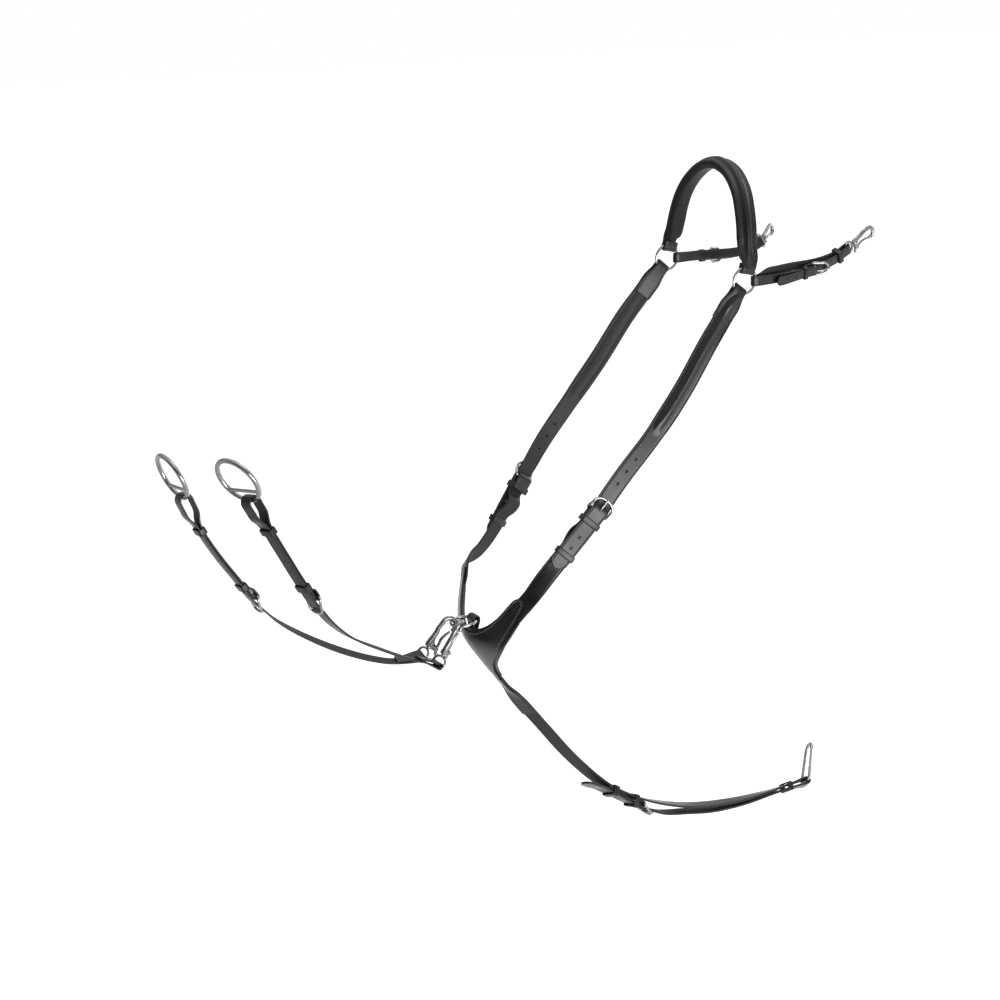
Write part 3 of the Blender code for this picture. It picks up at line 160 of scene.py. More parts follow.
def leather(name, dark, light, rough, grain, bump, coat=0.06, gloss_level=0.36):
    """Dyed leather: pores and creases in the bump, uneven dye, rubbed edges, dull flesh side."""
    constants = {"Coat Weight": coat, "Coat Roughness": 0.18, "Specular IOR Level": gloss_level}
    mat, tree, shader = new_material(name, constants)
    cells = texture(tree, "Voronoi", Scale=grain, feature="DISTANCE_TO_EDGE").outputs["Distance"]
    fine = texture(tree, "Noise", Scale=grain * 2.2, Detail=4.0, Roughness=0.62).outputs["Fac"]
    cloud = texture(tree, "Noise", Scale=34.0, Detail=5.0, Roughness=0.55).outputs["Fac"]
    pores = ramp(tree, cells, [(0.0, grey(0.0)), (0.16, grey(1.0))])
    relief(tree, shader, maths(tree, "MULTIPLY_ADD", pores, 0.55, fine), bump, 0.0003)
    worn = node(tree, "Attribute", attribute_name="worn").outputs["Fac"]
    flesh = node(tree, "Attribute", attribute_name="flesh").outputs["Fac"]
    dye = ramp(tree, cloud, [(0.3, shade(dark)), (0.72, shade(light))])
    rubbed = blend(tree, worn, dye, (light[0] * 1.7, light[1] * 1.65, light[2] * 1.6, 1.0))
    nap = ramp(tree, fine, [(0.3, grey(0.005)), (0.75, grey(0.012))])
    feed(tree, blend(tree, flesh, rubbed, nap), shader.inputs["Base Color"])
    gloss = ramp(tree, cloud, [(0.25, grey(rough - 0.06)), (0.75, grey(rough + 0.09))])
    feed(tree, blend(tree, flesh, gloss, grey(0.62)), shader.inputs["Roughness"])
    return mat


def metal(name, colour, rough, pits):
    """Plated metal with a little unevenness and fine rubbing marks."""
    mat, tree, shader = new_material(name, {"Metallic": 1.0})
    smear = texture(tree, "Noise", Scale=140.0, Detail=5.0, Roughness=0.6).outputs["Fac"]
    speck = texture(tree, "Noise", Scale=900.0, Detail=3.0, Roughness=0.55).outputs["Fac"]
    gloss = ramp(tree, smear, [(0.3, grey(rough * 0.65)), (0.75, grey(rough * 1.6))])
    feed(tree, gloss, shader.inputs["Roughness"])
    tone = ramp(tree, smear, [(0.25, shade(colour, 0.84)), (0.7, shade(colour))])
    feed(tree, tone, shader.inputs["Base Color"])
    relief(tree, shader, speck, pits, 0.0002)
    return mat


def thread(name, colour):
    """Waxed thread, with the twist of its strands and painted shade in the grooves between them."""
    mat, tree, shader = new_material(name, {"Roughness": 0.6, "Sheen Weight": 0.2})
    waves = texture(tree, "Wave", Scale=420.0, Distortion=1.5, bands_direction="DIAGONAL")
    twist = waves.outputs["Fac"]
    # Painted shade: the thread is darkened where its bump is low, in the grooves between the strands
    tone = ramp(tree, twist, [(0.1, shade(colour, 0.6)), (0.8, shade(colour))])
    feed(tree, tone, shader.inputs["Base Color"])
    relief(tree, shader, twist, 0.4, 0.0002)
    return mat


DARK, LIGHT = (0.005, 0.005, 0.0053), (0.010, 0.010, 0.0104)
STRAP = leather("strap_leather", DARK, LIGHT, 0.3, 620.0, 0.12)
PATCH = leather("chest_leather", DARK, LIGHT, 0.27, 560.0, 0.16)
LINING = leather("pad_leather", (0.006,) * 3, (0.011,) * 3, 0.48, 480.0, 0.5, 0.0, 0.2)
NICKEL = metal("nickel_plate", (0.37, 0.364, 0.352), 0.16, 0.04)
CAST = metal("nickel_on_castings", (0.3, 0.295, 0.286), 0.24, 0.08)
THREAD = thread("black_thread", (0.03, 0.03, 0.032))
GREY_THREAD = thread("grey_thread", (0.2, 0.2, 0.2))


# Curves, as in the part's source
def spline(knots, step, closed=False):
    """Points a step apart on a smooth curve through the knots, whose extra values follow."""
    rows = [[float(v) for v in knot] for knot in knots]
    if closed:
        rows = [rows[-1], *rows, rows[0], rows[1]]
    else:
        first = [2 * a - b for a, b in zip(rows[0], rows[1])]
        last = [2 * a - b for a, b in zip(rows[-1], rows[-2])]
        rows = [first, *rows, last]
    out = []
    for i in range(1, len(rows) - 2):
        p0, p1, p2, p3 = rows[i - 1 : i + 3]
        span = max((Vector(p2[:3]) - Vector(p1[:3])).length, 1e-6)
        before = max((Vector(p1[:3]) - Vector(p0[:3])).length, 1e-6)
        after = max((Vector(p3[:3]) - Vector(p2[:3])).length, 1e-6)
        count = max(1, round(span / step))
        for k in range(count):
            t = k / count
            h1, h2 = 2 * t**3 - 3 * t**2 + 1, -2 * t**3 + 3 * t**2
            g1, g2 = t**3 - 2 * t**2 + t, t**3 - t**2
            row = []
            for a, b, c, d in zip(p0, p1, p2, p3):
                start = ((b - a) / before + (c - b) / span) / 2 * span
                end = ((c - b) / span + (d - c) / after) / 2 * span
                row.append(h1 * b + g1 * start + h2 * c + g2 * end)
            out.append(row)
    if not closed:
        out.append(rows[-2])
    return out


def headings(points, closed=False):
    """The direction of a line at each of its points."""
    count = len(points)
    out = []
    for i in range(count):
        before, after = (i - 1, (i + 1) % count) if closed else (max(i - 1, 0), min(i + 1, count - 1))
        out.append((points[after] - points[before]).normalized())
    return out


def distances(points):
    """How far along a line each of its points lies."""
    out = [0.0]
    for a, b in zip(points, points[1:]):
        out.append(out[-1] + (b - a).length)
    return out


class Base:
    """A centre line with an outward direction, measured by its length."""

    def __init__(self, knots, step=2.0):
        rows = spline(knots, step)
        self.points = [Vector(r[:3]) for r in rows]
        self.outs = [Vector(r[3:6]).normalized() for r in rows]
        self.at = distances(self.points)
        self.length = self.at[-1]

    def frame(self, s):
        """Point, direction and outward direction at a length, which may lie past an end."""
        inside = min(max(s, 0.0), self.length)
        i = max(k for k in range(len(self.at) - 1) if self.at[k] <= inside or k == 0)
        span = self.at[i + 1] - self.at[i]
        t = (inside - self.at[i]) / span
        j, k = max(i - 1, 0), min(i + 2, len(self.at) - 1)
        low = (self.points[i + 1] - self.points[j]).normalized()
        high = (self.points[k] - self.points[i]).normalized()
        ahead = low.lerp(high, t).normalized()
        point = self.points[i].lerp(self.points[i + 1], t) + ahead * (s - inside)
        out = self.outs[i].lerp(self.outs[i + 1], t)
        out = (out - ahead * out.dot(ahead)).normalized()
        return point, ahead, out

    def point(self, s, lift=0.0):
        point, _, out = self.frame(s)
        return point + out * lift

    def ahead(self, s):
        return self.frame(s)[1]

    def place(self, s, way=1):
        """The place at a length, seen from the far end of the strap if way is -1."""
        point, ahead, out = self.frame(s)
        return Place(point, ahead * way, out)


def read(table, s):
    """A constant, or a value from a table of (length, value) with smooth steps between."""
    if not isinstance(table, list):
        return table
    if s <= table[0][0]:
        return table[0][1]
    for (a, va), (b, vb) in zip(table, table[1:]):
        if s <= b:
            t = (s - a) / (b - a)
            t = t * t * (3 - 2 * t)
            return va + (vb - va) * t
    return table[-1][1]


def run(base, start, end, offset, half, step, side=1.0, bead=0.0):
    """Stations along one layer of a strap, from one length to another."""
    count = max(1, math.ceil(abs(end - start) / step))
    out = []
    for i in range(count + 1):
        s = start + (end - start) * i / count
        point, _, outward = base.frame(s)
        out.append((point + outward * read(offset, s), outward * side, read(half, s), read(bead, s)))
    return out


def fold(stations, ahead, radius, steps=6):
    """Adds stations of a half turn towards the strap's inner side."""
    point, outward, half, bead = stations[-1]
    ahead = (ahead - outward * ahead.dot(outward)).normalized()
    centre = point - outward * radius
    for i in range(1, steps + 1):
        a = math.pi * i / steps
        spoke = outward * math.cos(a) + ahead * math.sin(a)
        stations.append((centre + spoke * radius, spoke, half, bead))


class Place:
    """A local frame: s along, n outward, b across."""

    def __init__(self, origin, along, outward):
        self.o = origin
        self.s = along.normalized()
        self.n = (outward - self.s * outward.dot(self.s)).normalized()
        self.b = self.s.cross(self.n)

    def at(self, s, n, b=0.0):
        return self.o + self.s * s + self.n * n + self.b * b


# Pieces
def piece(name, bm, mat, body, nodes=(), smooth=35):
    """Makes a piece from points in millimetres. It rides on a body and stands for CAD nodes."""
    bmesh.ops.recalc_face_normals(bm, faces=bm.faces)
    for vert in bm.verts:
        vert.co = (vert.co - CROWN) * MM
    mesh = bpy.data.meshes.new(name)
    bm.to_mesh(mesh)
    bm.free()
    mesh.shade_smooth()
    mesh.set_sharp_from_angle(angle=math.radians(smooth))
    mesh.materials.append(mat)
    obj = bpy.data.objects.new(name, mesh)
    bpy.context.scene.collection.objects.link(obj)
    if body:
        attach(obj, body)
    if nodes:
        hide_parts(*nodes)
    return obj


def stand_in(node_name, bm, mat, body, smooth=35):
    """The piece for one CAD node, named after it."""
    kind = "nickel" if mat in (NICKEL, CAST) else "leather"
    return piece("%s_%s" % (node_name, kind), bm, mat, body, (node_name,), smooth)


def loft(rings, closed=False, worn=None, bm=None):
    """Joins rings of points into one skin, with lengths along and across as its UV map."""
    bm = bm or bmesh.new()
    uv = bm.loops.layers.uv.get("strap") or bm.loops.layers.uv.new("strap")
    tone = bm.verts.layers.float.get("worn") or bm.verts.layers.float.new("worn")
    rear = bm.verts.layers.float.get("flesh") or bm.verts.layers.float.new("flesh")
    rows = [[bm.verts.new(p) for p in ring] for ring in rings]
    for row in rows:
        for vert, (rubbed, rough) in zip(row, worn or [(0.0, 0.0)] * len(row)):
            vert[tone], vert[rear] = rubbed, rough
    sides = len(rings[0])
    across = [0.0]
    for k in range(sides):
        across.append(across[-1] + (rings[0][(k + 1) % sides] - rings[0][k]).length)
    along = 0.0
    for i in range(len(rows) if closed else len(rows) - 1):
        a, b = rows[i], rows[(i + 1) % len(rows)]
        more = along + (rings[(i + 1) % len(rows)][0] - rings[i][0]).length
        for k in range(sides):
            j = (k + 1) % sides
            face = bm.faces.new((a[k], a[j], b[j], b[k]))
            corners = ((across[k], along), (across[k + 1], along), (across[k + 1], more), (across[k], more))
            for loop, corner in zip(face.loops, corners):
                loop[uv].uv = (corner[0] * MM * 10, corner[1] * MM * 10)
        along = more
    if not closed:
        bm.faces.new(rows[0])
        bm.faces.new(list(reversed(rows[-1])))
    return bm


RUBBED = (0.5, 0.6, 0.45, 0.1)  # How worn a strap's outer edge is, from its side to its face


def section(half, thick, bead, shift=0.0):
    """Points across a strap with rounded edges, a crease inside each edge, and maybe a bead.

    With each point goes how rubbed it is, and how much of the flesh side it shows.
    """
    low, high = -thick / 2, thick / 2
    r = min(0.8, half * 0.45)
    line = min(2.0, half * 0.35)
    points, worn = [], []

    def put(u, v, rubbed=0.0, flesh=0.0):
        points.append((u, v))
        worn.append((rubbed, flesh))

    def corner(u, v, start, marks):
        for k, mark in enumerate(marks):
            a = math.radians(start + 30 * k)
            put(u + r * math.cos(a), v + r * math.sin(a), *mark)

    def crease(u):
        for d, deep in ((0.35, 0.0), (0.0, -0.2), (-0.35, 0.0)):
            put(u + d, high + deep)

    corner(-half + r, low + r, 180, [(0.5, k / 3) for k in range(4)])
    groove = 0.0 if bead is None else min(0.3, bead * 0.2)
    under = [(-0.84, 0), (-0.7, 0), (-0.63, 1), (-0.56, 0)]
    for t, deep in [*under, (0.0, -0.6), *[(-t, deep) for t, deep in reversed(under)]]:
        put((half - r) * t, low + groove * deep, 0.0, 1.0)
    corner(half - r, low + r, 270, [(0.5, 1 - k / 3) for k in range(4)])
    corner(half - r, high - r, 0, [(w,) for w in RUBBED])
    crease(half - line)
    for k in range(15):
        t = 0.64 - 1.28 * k / 14
        if bead is None:
            put(half * t, high + 0.08 * (1 - t * t))
            continue
        x = min(max((abs(t) - 0.12) / 0.48, 0.0), 1.0)
        crown = 1.0 + 0.1 * (1 - (t / 0.3) ** 2) if abs(t) < 0.3 else 1.0
        tall = bead * (0.5 + 0.5 * math.cos(math.pi * x)) * crown * 0.93
        put(half * (t + shift * min(1.0, bead / 2)), high + tall)
    crease(-half + line)
    corner(-half + r, high - r, 90, [(w,) for w in reversed(RUBBED)])
    return points, worn


def fine(stations, step=FINE):
    """The same strap with stations close together."""
    rows = spline([(*p, *n, w, b) for p, n, w, b in stations], step)
    return [(Vector(r[:3]), Vector(r[3:6]).normalized(), max(r[6], 0.5), max(r[7], 0.0))
            for r in rows]


def round_tip(stations, length, steps=9):
    """The same strap with a round end."""
    point, outward, half, _ = stations[-1]
    ahead = (point - stations[-2][0]).normalized()
    out = list(stations)
    for i in range(1, steps + 1):
        t = math.sin(i / steps * math.pi / 2) * 0.985
        out.append((point + ahead * length * t, outward, half * math.sqrt(1 - t * t), 0.0))
    return out


def frames(stations):
    """Point, direction across, outward direction and half width of each station."""
    out = []
    for ahead, (point, outward, half, _) in zip(headings([row[0] for row in stations]), stations):
        n = (outward - ahead * outward.dot(ahead)).normalized()
        out.append((point, ahead.cross(n), n, half))
    return out


def strap(name, stations, thick, body, beaded=False, shift=0.0, stands=True):
    rings = []
    for (point, across, n, half), station in zip(frames(stations), stations):
        points, worn = section(half, thick, station[3] if beaded else None, shift)
        rings.append([point + across * u + n * v for u, v in points])
    return piece(name + "_leather", loft(rings, False, worn), STRAP, body, (name,) if stands else ())


def circle(centre, radius, u, v, count, turned_by=0.0):
    out = []
    for k in range(count):
        a = 2 * math.pi * (k + turned_by) / count
        out.append(centre + (u * math.cos(a) + v * math.sin(a)) * radius)
    return out


def tube_rings(points, radius, plane, closed, sides):
    """Rings round a line, of one radius or of a radius for each point."""
    radii = radius if isinstance(radius, list) else [radius] * len(points)
    rings = []
    for point, ahead, thick in zip(points, headings(points, closed), radii):
        across = (plane - ahead * plane.dot(ahead)).normalized()
        rings.append(circle(point, thick, across, ahead.cross(across), sides, 0.5))
    return rings


def bar(points, radius, plane, closed=False, sides=18, step=1.2, bm=None):
    """A smooth round bar through a few points, with rounded ends when it is open."""
    thick = radius if isinstance(radius, list) else [radius] * len(points)
    rows = spline([(*p, r) for p, r in zip(points, thick)], step, closed)
    line = [(Vector(r[:3]), r[3]) for r in rows]
    if not closed:
        caps = []
        for (end, r), (beside, _) in ((line[0], line[1]), (line[-1], line[-2])):
            out = (end - beside).normalized()
            caps.append([(end + out * r * math.sin(a) * 0.6, r * math.cos(a)) for a in (0.5, 0.95, 1.3)])
        line = caps[0][::-1] + line + caps[1]
    centres, radii = ([row[i] for row in line] for i in (0, 1))
    return loft(tube_rings(centres, radii, plane, closed, sides), closed, None, bm)


def turned(centre, axis, profile, sides=28, bm=None):
    """A turned piece: profile is (along the axis, radius)."""
    axis = axis.normalized()
    side = axis.orthogonal().normalized()
    third = axis.cross(side)
    rings = [circle(centre + axis * along, radius, side, third, sides) for along, radius in profile]
    return loft(rings, False, None, bm)


def hoop(centre, radius, u, v, axis, wire, count=72, sides=18):
    """A round ring of wire in the plane of u and v."""
    points = circle(centre, radius, u, v, count)
    return loft(tube_rings(points, wire, axis, True, sides), True)


# A stitch's shape: how far along it, how thick and how high
STITCH = ((0.0, 0.5, -0.2), (0.22, 1.0, 0.16), (0.78, 1.0, 0.16), (1.0, 0.5, -0.2))


def stitches(name, lines, body, mat=THREAD, pitch=3.3, size=0.36):
    """Rows of sewn stitches along lines of (point, outward direction)."""
    bm = bmesh.new()
    for line in lines:
        at = distances([p for p, _ in line])
        for k in range(int(at[-1] / pitch)):
            ends = []
            for s in (k * pitch + 0.35, (k + 0.78) * pitch):
                i = max(j for j in range(len(at) - 1) if at[j] <= s)
                t = (s - at[i]) / max(at[i + 1] - at[i], 1e-6)
                p, n = (a.lerp(b, t) for a, b in zip(line[i], line[i + 1]))
                ends.append((p, n.normalized()))
            (p, n), (q, _) = ends
            side = (q - p).cross(n)
            if side.length < 1e-6:
                continue
            side.normalize()
            rings = []
            for t, r, lift in STITCH:
                centre = p.lerp(q, t) + n * lift * size * 2
                ring = []
                for corner in range(6):
                    a = math.radians(60 * corner)
                    ring.append(centre + (side * math.cos(a) + n * math.sin(a) * 0.8) * size * r)
                rings.append(ring)
            loft(rings, False, None, bm)
    piece(name, bm, mat, body, (), 80)


def bead_lines(stations, thick, shift=0.0, face=1.0):
    """Two rows of stitches at the foot of the raised centre, or behind it if face is -1."""
    on = [i for i, row in enumerate(stations) if row[3] > 1.2]
    rows = frames(stations)[on[0]:on[-1]]
    lines = []
    for way in (-1, 1):
        lines.append([(point + across * (half * (way * 0.66 + shift)) + n * (face * thick / 2), n * face)
                      for point, across, n, half in rows])
    return lines


def edge_lines(stations, start, end, from_edge, thick):
    """Two lines at a distance inside the edges of a strap, between two stations."""
    lines = []
    for way in (-1, 1):
        lines.append([(point + across * (way * (half - from_edge)) + n * (thick / 2), n)
                      for point, across, n, half in frames(stations)[start:end]])
    return lines


def cross_line(row, half, thick):
    """A line across a strap, a little inside its edges."""
    point, across, n, _ = row
    return [(point + across * ((half - 1.2) * t / 4) + n * thick / 2, n) for t in range(-4, 5)]


def last_near(stations, spot, reach):
    """The frame of the last station that lies within reach of a point."""
    return [row for row in frames(stations) if (row[0] - spot).length < reach][-1]


def keeper(name, place, half, low, high, length, body):
    """A leather band round the layers of a strap."""
    w, top, bottom, r = half + KEEPER_WALL / 2, high + KEEPER_WALL / 2, low - KEEPER_WALL / 2, 1.5
    points, worn = section(length / 2, KEEPER_WALL, None)
    corners = ((w - r, top - r), (-w + r, top - r), (-w + r, bottom + r), (w - r, bottom + r))
    rings = []
    for i, (b, n) in enumerate(corners):
        for k in range(4):
            a = math.radians(90 * i + 30 * k)
            outward = place.b * math.cos(a) + place.n * math.sin(a)
            middle = place.at(0, n + r * math.sin(a), b + r * math.cos(a))
            rings.append([middle + place.s * u + outward * v for u, v in points])
    stand_in(name, loft(rings, True, worn), STRAP, body)


def punch(obj, base, lengths, lift, radius=HOLE_RADIUS):
    """Sinks punched holes into both faces of a billet, with a thin skin left between them."""
    cutters = []
    for s in lengths:
        n = base.frame(s)[2]
        for start, end in ((HOLE_SKIN, 4.0), (-4.0, -HOLE_SKIN)):
            bm = turned(base.point(s, read(lift, s)), n, [(start, radius), (end, radius)], 20)
            cutters.append(piece("punch", bm, STRAP, None))
    for cutter in cutters:
        mod = obj.modifiers.new("punch", "BOOLEAN")
        mod.operation = "DIFFERENCE"
        mod.solver = "EXACT"
        mod.object = cutter
    bpy.context.view_layer.update()
    graph = bpy.context.evaluated_depsgraph_get()
    mesh = bpy.data.meshes.new_from_object(obj.evaluated_get(graph))
    obj.modifiers.clear()
    whole, obj.data = obj.data, mesh
    bpy.data.meshes.remove(whole)
    for cutter in cutters:
        bpy.data.objects.remove(cutter, do_unlink=True)


def buckle(name, place, half, length, rise, bar_n, crank, body):
    """A cast buckle frame whose bar crosses the origin of its place."""
    wire = BUCKLE_WIRE + FULLER
    w = half + CLEAR + wire + 0.3
    side = [(1.2, w), (length * 0.45, w), (length * 0.72, w * 0.93), (length * 0.92, w * 0.6)]
    path = [(0, -w * 0.92), (0, 0), (0, w * 0.92), *side, (length, 0), *[(s, -b) for s, b in side[::-1]]]
    points = []
    for s, b in path:
        t = s / length
        points.append(place.at(s, bar_n + rise * t + crank * math.sin(math.pi * t), b))
    thick = [BUCKLE_WIRE if s <= 0 else wire for s, _ in path]
    stand_in(name, bar(points, thick, place.n, True, 18, 1.0), NICKEL, body)


def tongue(name, place, bar_n, path):
    """A tongue curled round the bar, then over the strap to the end of the frame."""
    reach = BUCKLE_WIRE + CLEAR + TONGUE_WIRE
    points = []
    for i in range(7):
        a = math.radians(-55 - 35 * i)
        points.append(place.at(reach * math.cos(a), bar_n + reach * math.sin(a)))
    points += [place.at(s, n) for s, n in path]
    stand_in(name, bar(points, TONGUE_WIRE, place.b, False, 14, 0.8), NICKEL, name)


class Snap:
    """Trigger snap: a runs from the eye's bar to the head, c towards the trigger, d across both."""

    def __init__(self, prefix, origin, a, d, scale, length, strap_half, head=2.5):
        self.prefix, self.o, self.k, self.length, self.head = prefix, origin, scale, length, head
        self.a = a.normalized()
        self.d = (d - self.a * d.dot(self.a)).normalized()
        self.c = self.d.cross(self.a)
        self.eye_half = strap_half + CLEAR + EYE_WIRE

    def at(self, a, c, d=0.0):
        return self.o + (self.a * a + self.c * c + self.d * d) * self.k

    def scaled(self, profile):
        return [(s * self.k, r * self.k) for s, r in profile]

    def build(self, bar_axis, bodies):
        """Makes the snap's three pieces, on bodies of the given pattern."""
        for part, make in (("eye", self.eye), ("hook", self.hook), ("trigger", self.trigger)):
            bm = make(bar_axis) if part == "eye" else make()
            stand_in("%s_%s" % (self.prefix, part), bm, CAST, bodies % part)

    def eye(self, bar_axis):
        """The eye round the strap's fold, with the stem and collar that the hook turns on."""
        bar_axis = (bar_axis - self.a * bar_axis.dot(self.a)).normalized()
        w, top = self.eye_half, 8.0 * self.k
        shape = [(0, w * t) for t in (-0.9, -0.5, 0, 0.5, 0.9)]
        curve = [(0.1, 1.03), (0.32, 1.07), (0.62, 0.97), (0.88, 0.62)]
        shape += [(t, w * u) for t, u in curve] + [(1.0, 0)] + [(t, -w * u) for t, u in curve[::-1]]
        points = [self.o + self.a * (top * t) + bar_axis * b for t, b in shape]
        bm = bar(points, EYE_WIRE, self.a.cross(bar_axis), True, 16, 1.0)
        profile = [(7.2, 1.2), (7.4, 1.5), (14.3, 1.5), (14.3, 2.5), (14.5, 2.7), (15.3, 2.7), (15.9, 2.2)]
        return turned(self.o, self.a, self.scaled([*profile, (16.2, 1.2)]), 24, bm)

    def hook(self):
        """The cast hook: its bar and head, the sleeve on the stem, a web and the trigger's cheeks."""
        path = [(11.0, -2.2), (14.5, -2.8), (19.0, -3.1), (24.0, -3.8), (self.length - 7.5, -5.1)]
        radii = [2.4, 2.5, 2.5, 1.25 + self.head / 2, self.head]
        for i in range(8):
            a = math.radians(-112 + 32 * i)
            path.append((self.length + 6.0 * math.cos(a), 6.0 * math.sin(a)))
            radii.append(self.head if i < 6 else self.head - 0.3 - 0.2 * (i - 6))
        bm = bar([self.at(*p) for p in path], [r * self.k for r in radii], self.d, False, 20, 1.0)
        sleeve = [(9.9, 3.1), (10.1, 3.6), (10.6, 3.7), (11.2, 3.45), (11.7, 3.7), (12.2, 3.45)]
        sleeve += [(12.8, 3.7), (13.4, 3.6), (13.6, 3.1)]
        turned(self.o, self.a, self.scaled(sleeve), 32, bm)
        web = [(13.0, -4.4), (13.0, 2.3), (15.5, 1.6), (18.0, 0.0), (20.5, -1.6), (22.5, -3.4)]
        web.append((18.0, -4.6))
        layers = []
        for d, shrink in ((-1.7, 0.7), (-1.2, 0.2), (0.0, 0.0), (1.2, 0.2), (1.7, 0.7)):
            layers.append([self.at(a + (16.0 - a) * shrink * 0.3, c + (-2.0 - c) * shrink * 0.3, d)
                           for a, c in web])
        loft(layers, False, None, bm)
        cheek = [(10.4, 1.6), (13.4, 1.6), (14.8, 5.2), (14.7, 6.4), (14.0, 7.2), (12.9, 7.6)]
        cheek += [(12.0, 7.4), (11.2, 6.8), (10.6, 5.4)]
        rivet = [(0.0, 1.1), (0.35, 1.05), (0.6, 0.75), (0.75, 0.3)]
        for way in (-1.0, 1.0):
            inner, outer = way * (1.5 + 0.3 / self.k), way * (2.6 + 0.3 / self.k)
            loft([[self.at(a, c, d) for a, c in cheek] for d in (inner, outer)], False, None, bm)
            turned(self.at(12.8, 6.0, outer), self.d * way, self.scaled(rivet), 16, bm)
        return bm

    def trigger(self):
        reach = self.length - 4.6
        path = [(8.6, 10.2), (10.4, 7.6), (12.8, 6.0), (16.5, 5.4), (21.5, 3.8), (reach - 4.5, 3.9)]
        radii = [r * self.k for r in (1.9, 1.5, 1.5, 1.3, 1.4, 1.4, 1.25)]
        return bar([self.at(*p) for p in [*path, (reach, 4.9)]], radii, self.d, False, 16, 0.9)


# The withers
FOLD_AT_RING = RING_WIRE + RING_GAP + HEAVY_THICK / 2
LOOP_DROP = 13.3
RING_LEAN = math.radians(12)
FOLD_BACK, FOLD_UP = LOOP_DROP * math.sin(RING_LEAN), LOOP_DROP * math.cos(RING_LEAN)
# Half of the arch, from a ring to the crown: x, y, z and how far it leans back
ARCH = [
    (FOLD_BACK, RING_SIDE + FOLD_AT_RING, RING_DROP + FOLD_UP, 0.0), (5.2, RING_SIDE + 3.0, -105.0, 0.02),
    (6.0, RING_SIDE - 3.0, -91.0, 0.08), (7.0, RING_SIDE * 0.935, -76.0, 0.15),
    (8.2, RING_SIDE * 0.89, -58.0, 0.2), (9.8, RING_SIDE * 0.81, -39.0, 0.2),
    (12.4, RING_SIDE * 0.695, -22.0, 0.16), (14.6, RING_SIDE * 0.54, -8.0, 0.1),
    (16.2, RING_SIDE * 0.342, 3.6, 0.04),
    (CROWN_BACK, RING_SIDE * 0.057, HEAVY_THICK / 2 + PAD_GAP + PAD_THICK, 0.0),
]
ARCH_STEPS = 26
PAD_END = 15.0
PAD_CLOSING = 6  # Rings that close each end of the pad


def arch_base():
    """The line over the withers, from ring to ring, with its outward direction."""
    rows = [(x, -y, z, lean) for x, y, z, lean in ARCH] + ARCH[::-1]
    knots = []
    for i, (x, y, z, lean) in enumerate(rows):
        before, after = rows[max(i - 1, 0)], rows[min(i + 1, len(rows) - 1)]
        dy, dz = after[1] - before[1], after[2] - before[2]
        long = math.hypot(dy, dz)
        normal = Vector((-lean, -dz / long, dy / long))
        if i in (0, len(rows) - 1):
            normal = Y_AXIS * math.copysign(1.0, y)
        if abs(y) < 6:
            normal = Z_AXIS
        knots.append((x, y, z, *normal))
    return Base(knots)


def wither_strap():
    """The raised strap over the withers, folded up inside each ring."""
    base = arch_base()
    loop, end = 9.5, base.length
    up = Vector((math.sin(RING_LEAN), 0.0, math.cos(RING_LEAN)))
    middle = Vector((FOLD_BACK, 0.0, RING_DROP + FOLD_UP))
    inner = Y_AXIS * (RING_SIDE - FOLD_AT_RING)
    stations = [(middle + up * 8 - inner, Y_AXIS, loop, 0.0), (middle - inner, Y_AXIS, loop, 0.0)]
    fold(stations, -up, FOLD_AT_RING)
    widths = [(4, loop), (15, WITHER_HALF_WIDTH), (end - 15, WITHER_HALF_WIDTH), (end - 4, loop)]
    beads = [(10, 0.0), (24, BEAD_HEIGHT), (end - 24, BEAD_HEIGHT), (end - 10, 0.0)]
    stations += run(base, 4, end - 4, 0.0, widths, (end - 8) / ARCH_STEPS + 0.01, 1.0, beads)
    stations.append((middle + Y_AXIS * (RING_SIDE + FOLD_AT_RING), Y_AXIS, loop, 0.0))
    fold(stations, -up, FOLD_AT_RING)
    stations.append((middle + up * 8 + inner, -Y_AXIS, loop, 0.0))
    smooth = fine(stations)
    strap("withers_strap", smooth, HEAVY_THICK, "withers", True)
    on = [i for i, row in enumerate(smooth) if row[3] > 2.4]
    lines = bead_lines(smooth, HEAVY_THICK) + edge_lines(smooth, on[0], on[-1], 1.15, HEAVY_THICK)
    stitches("withers_strap_stitches", lines, "withers")


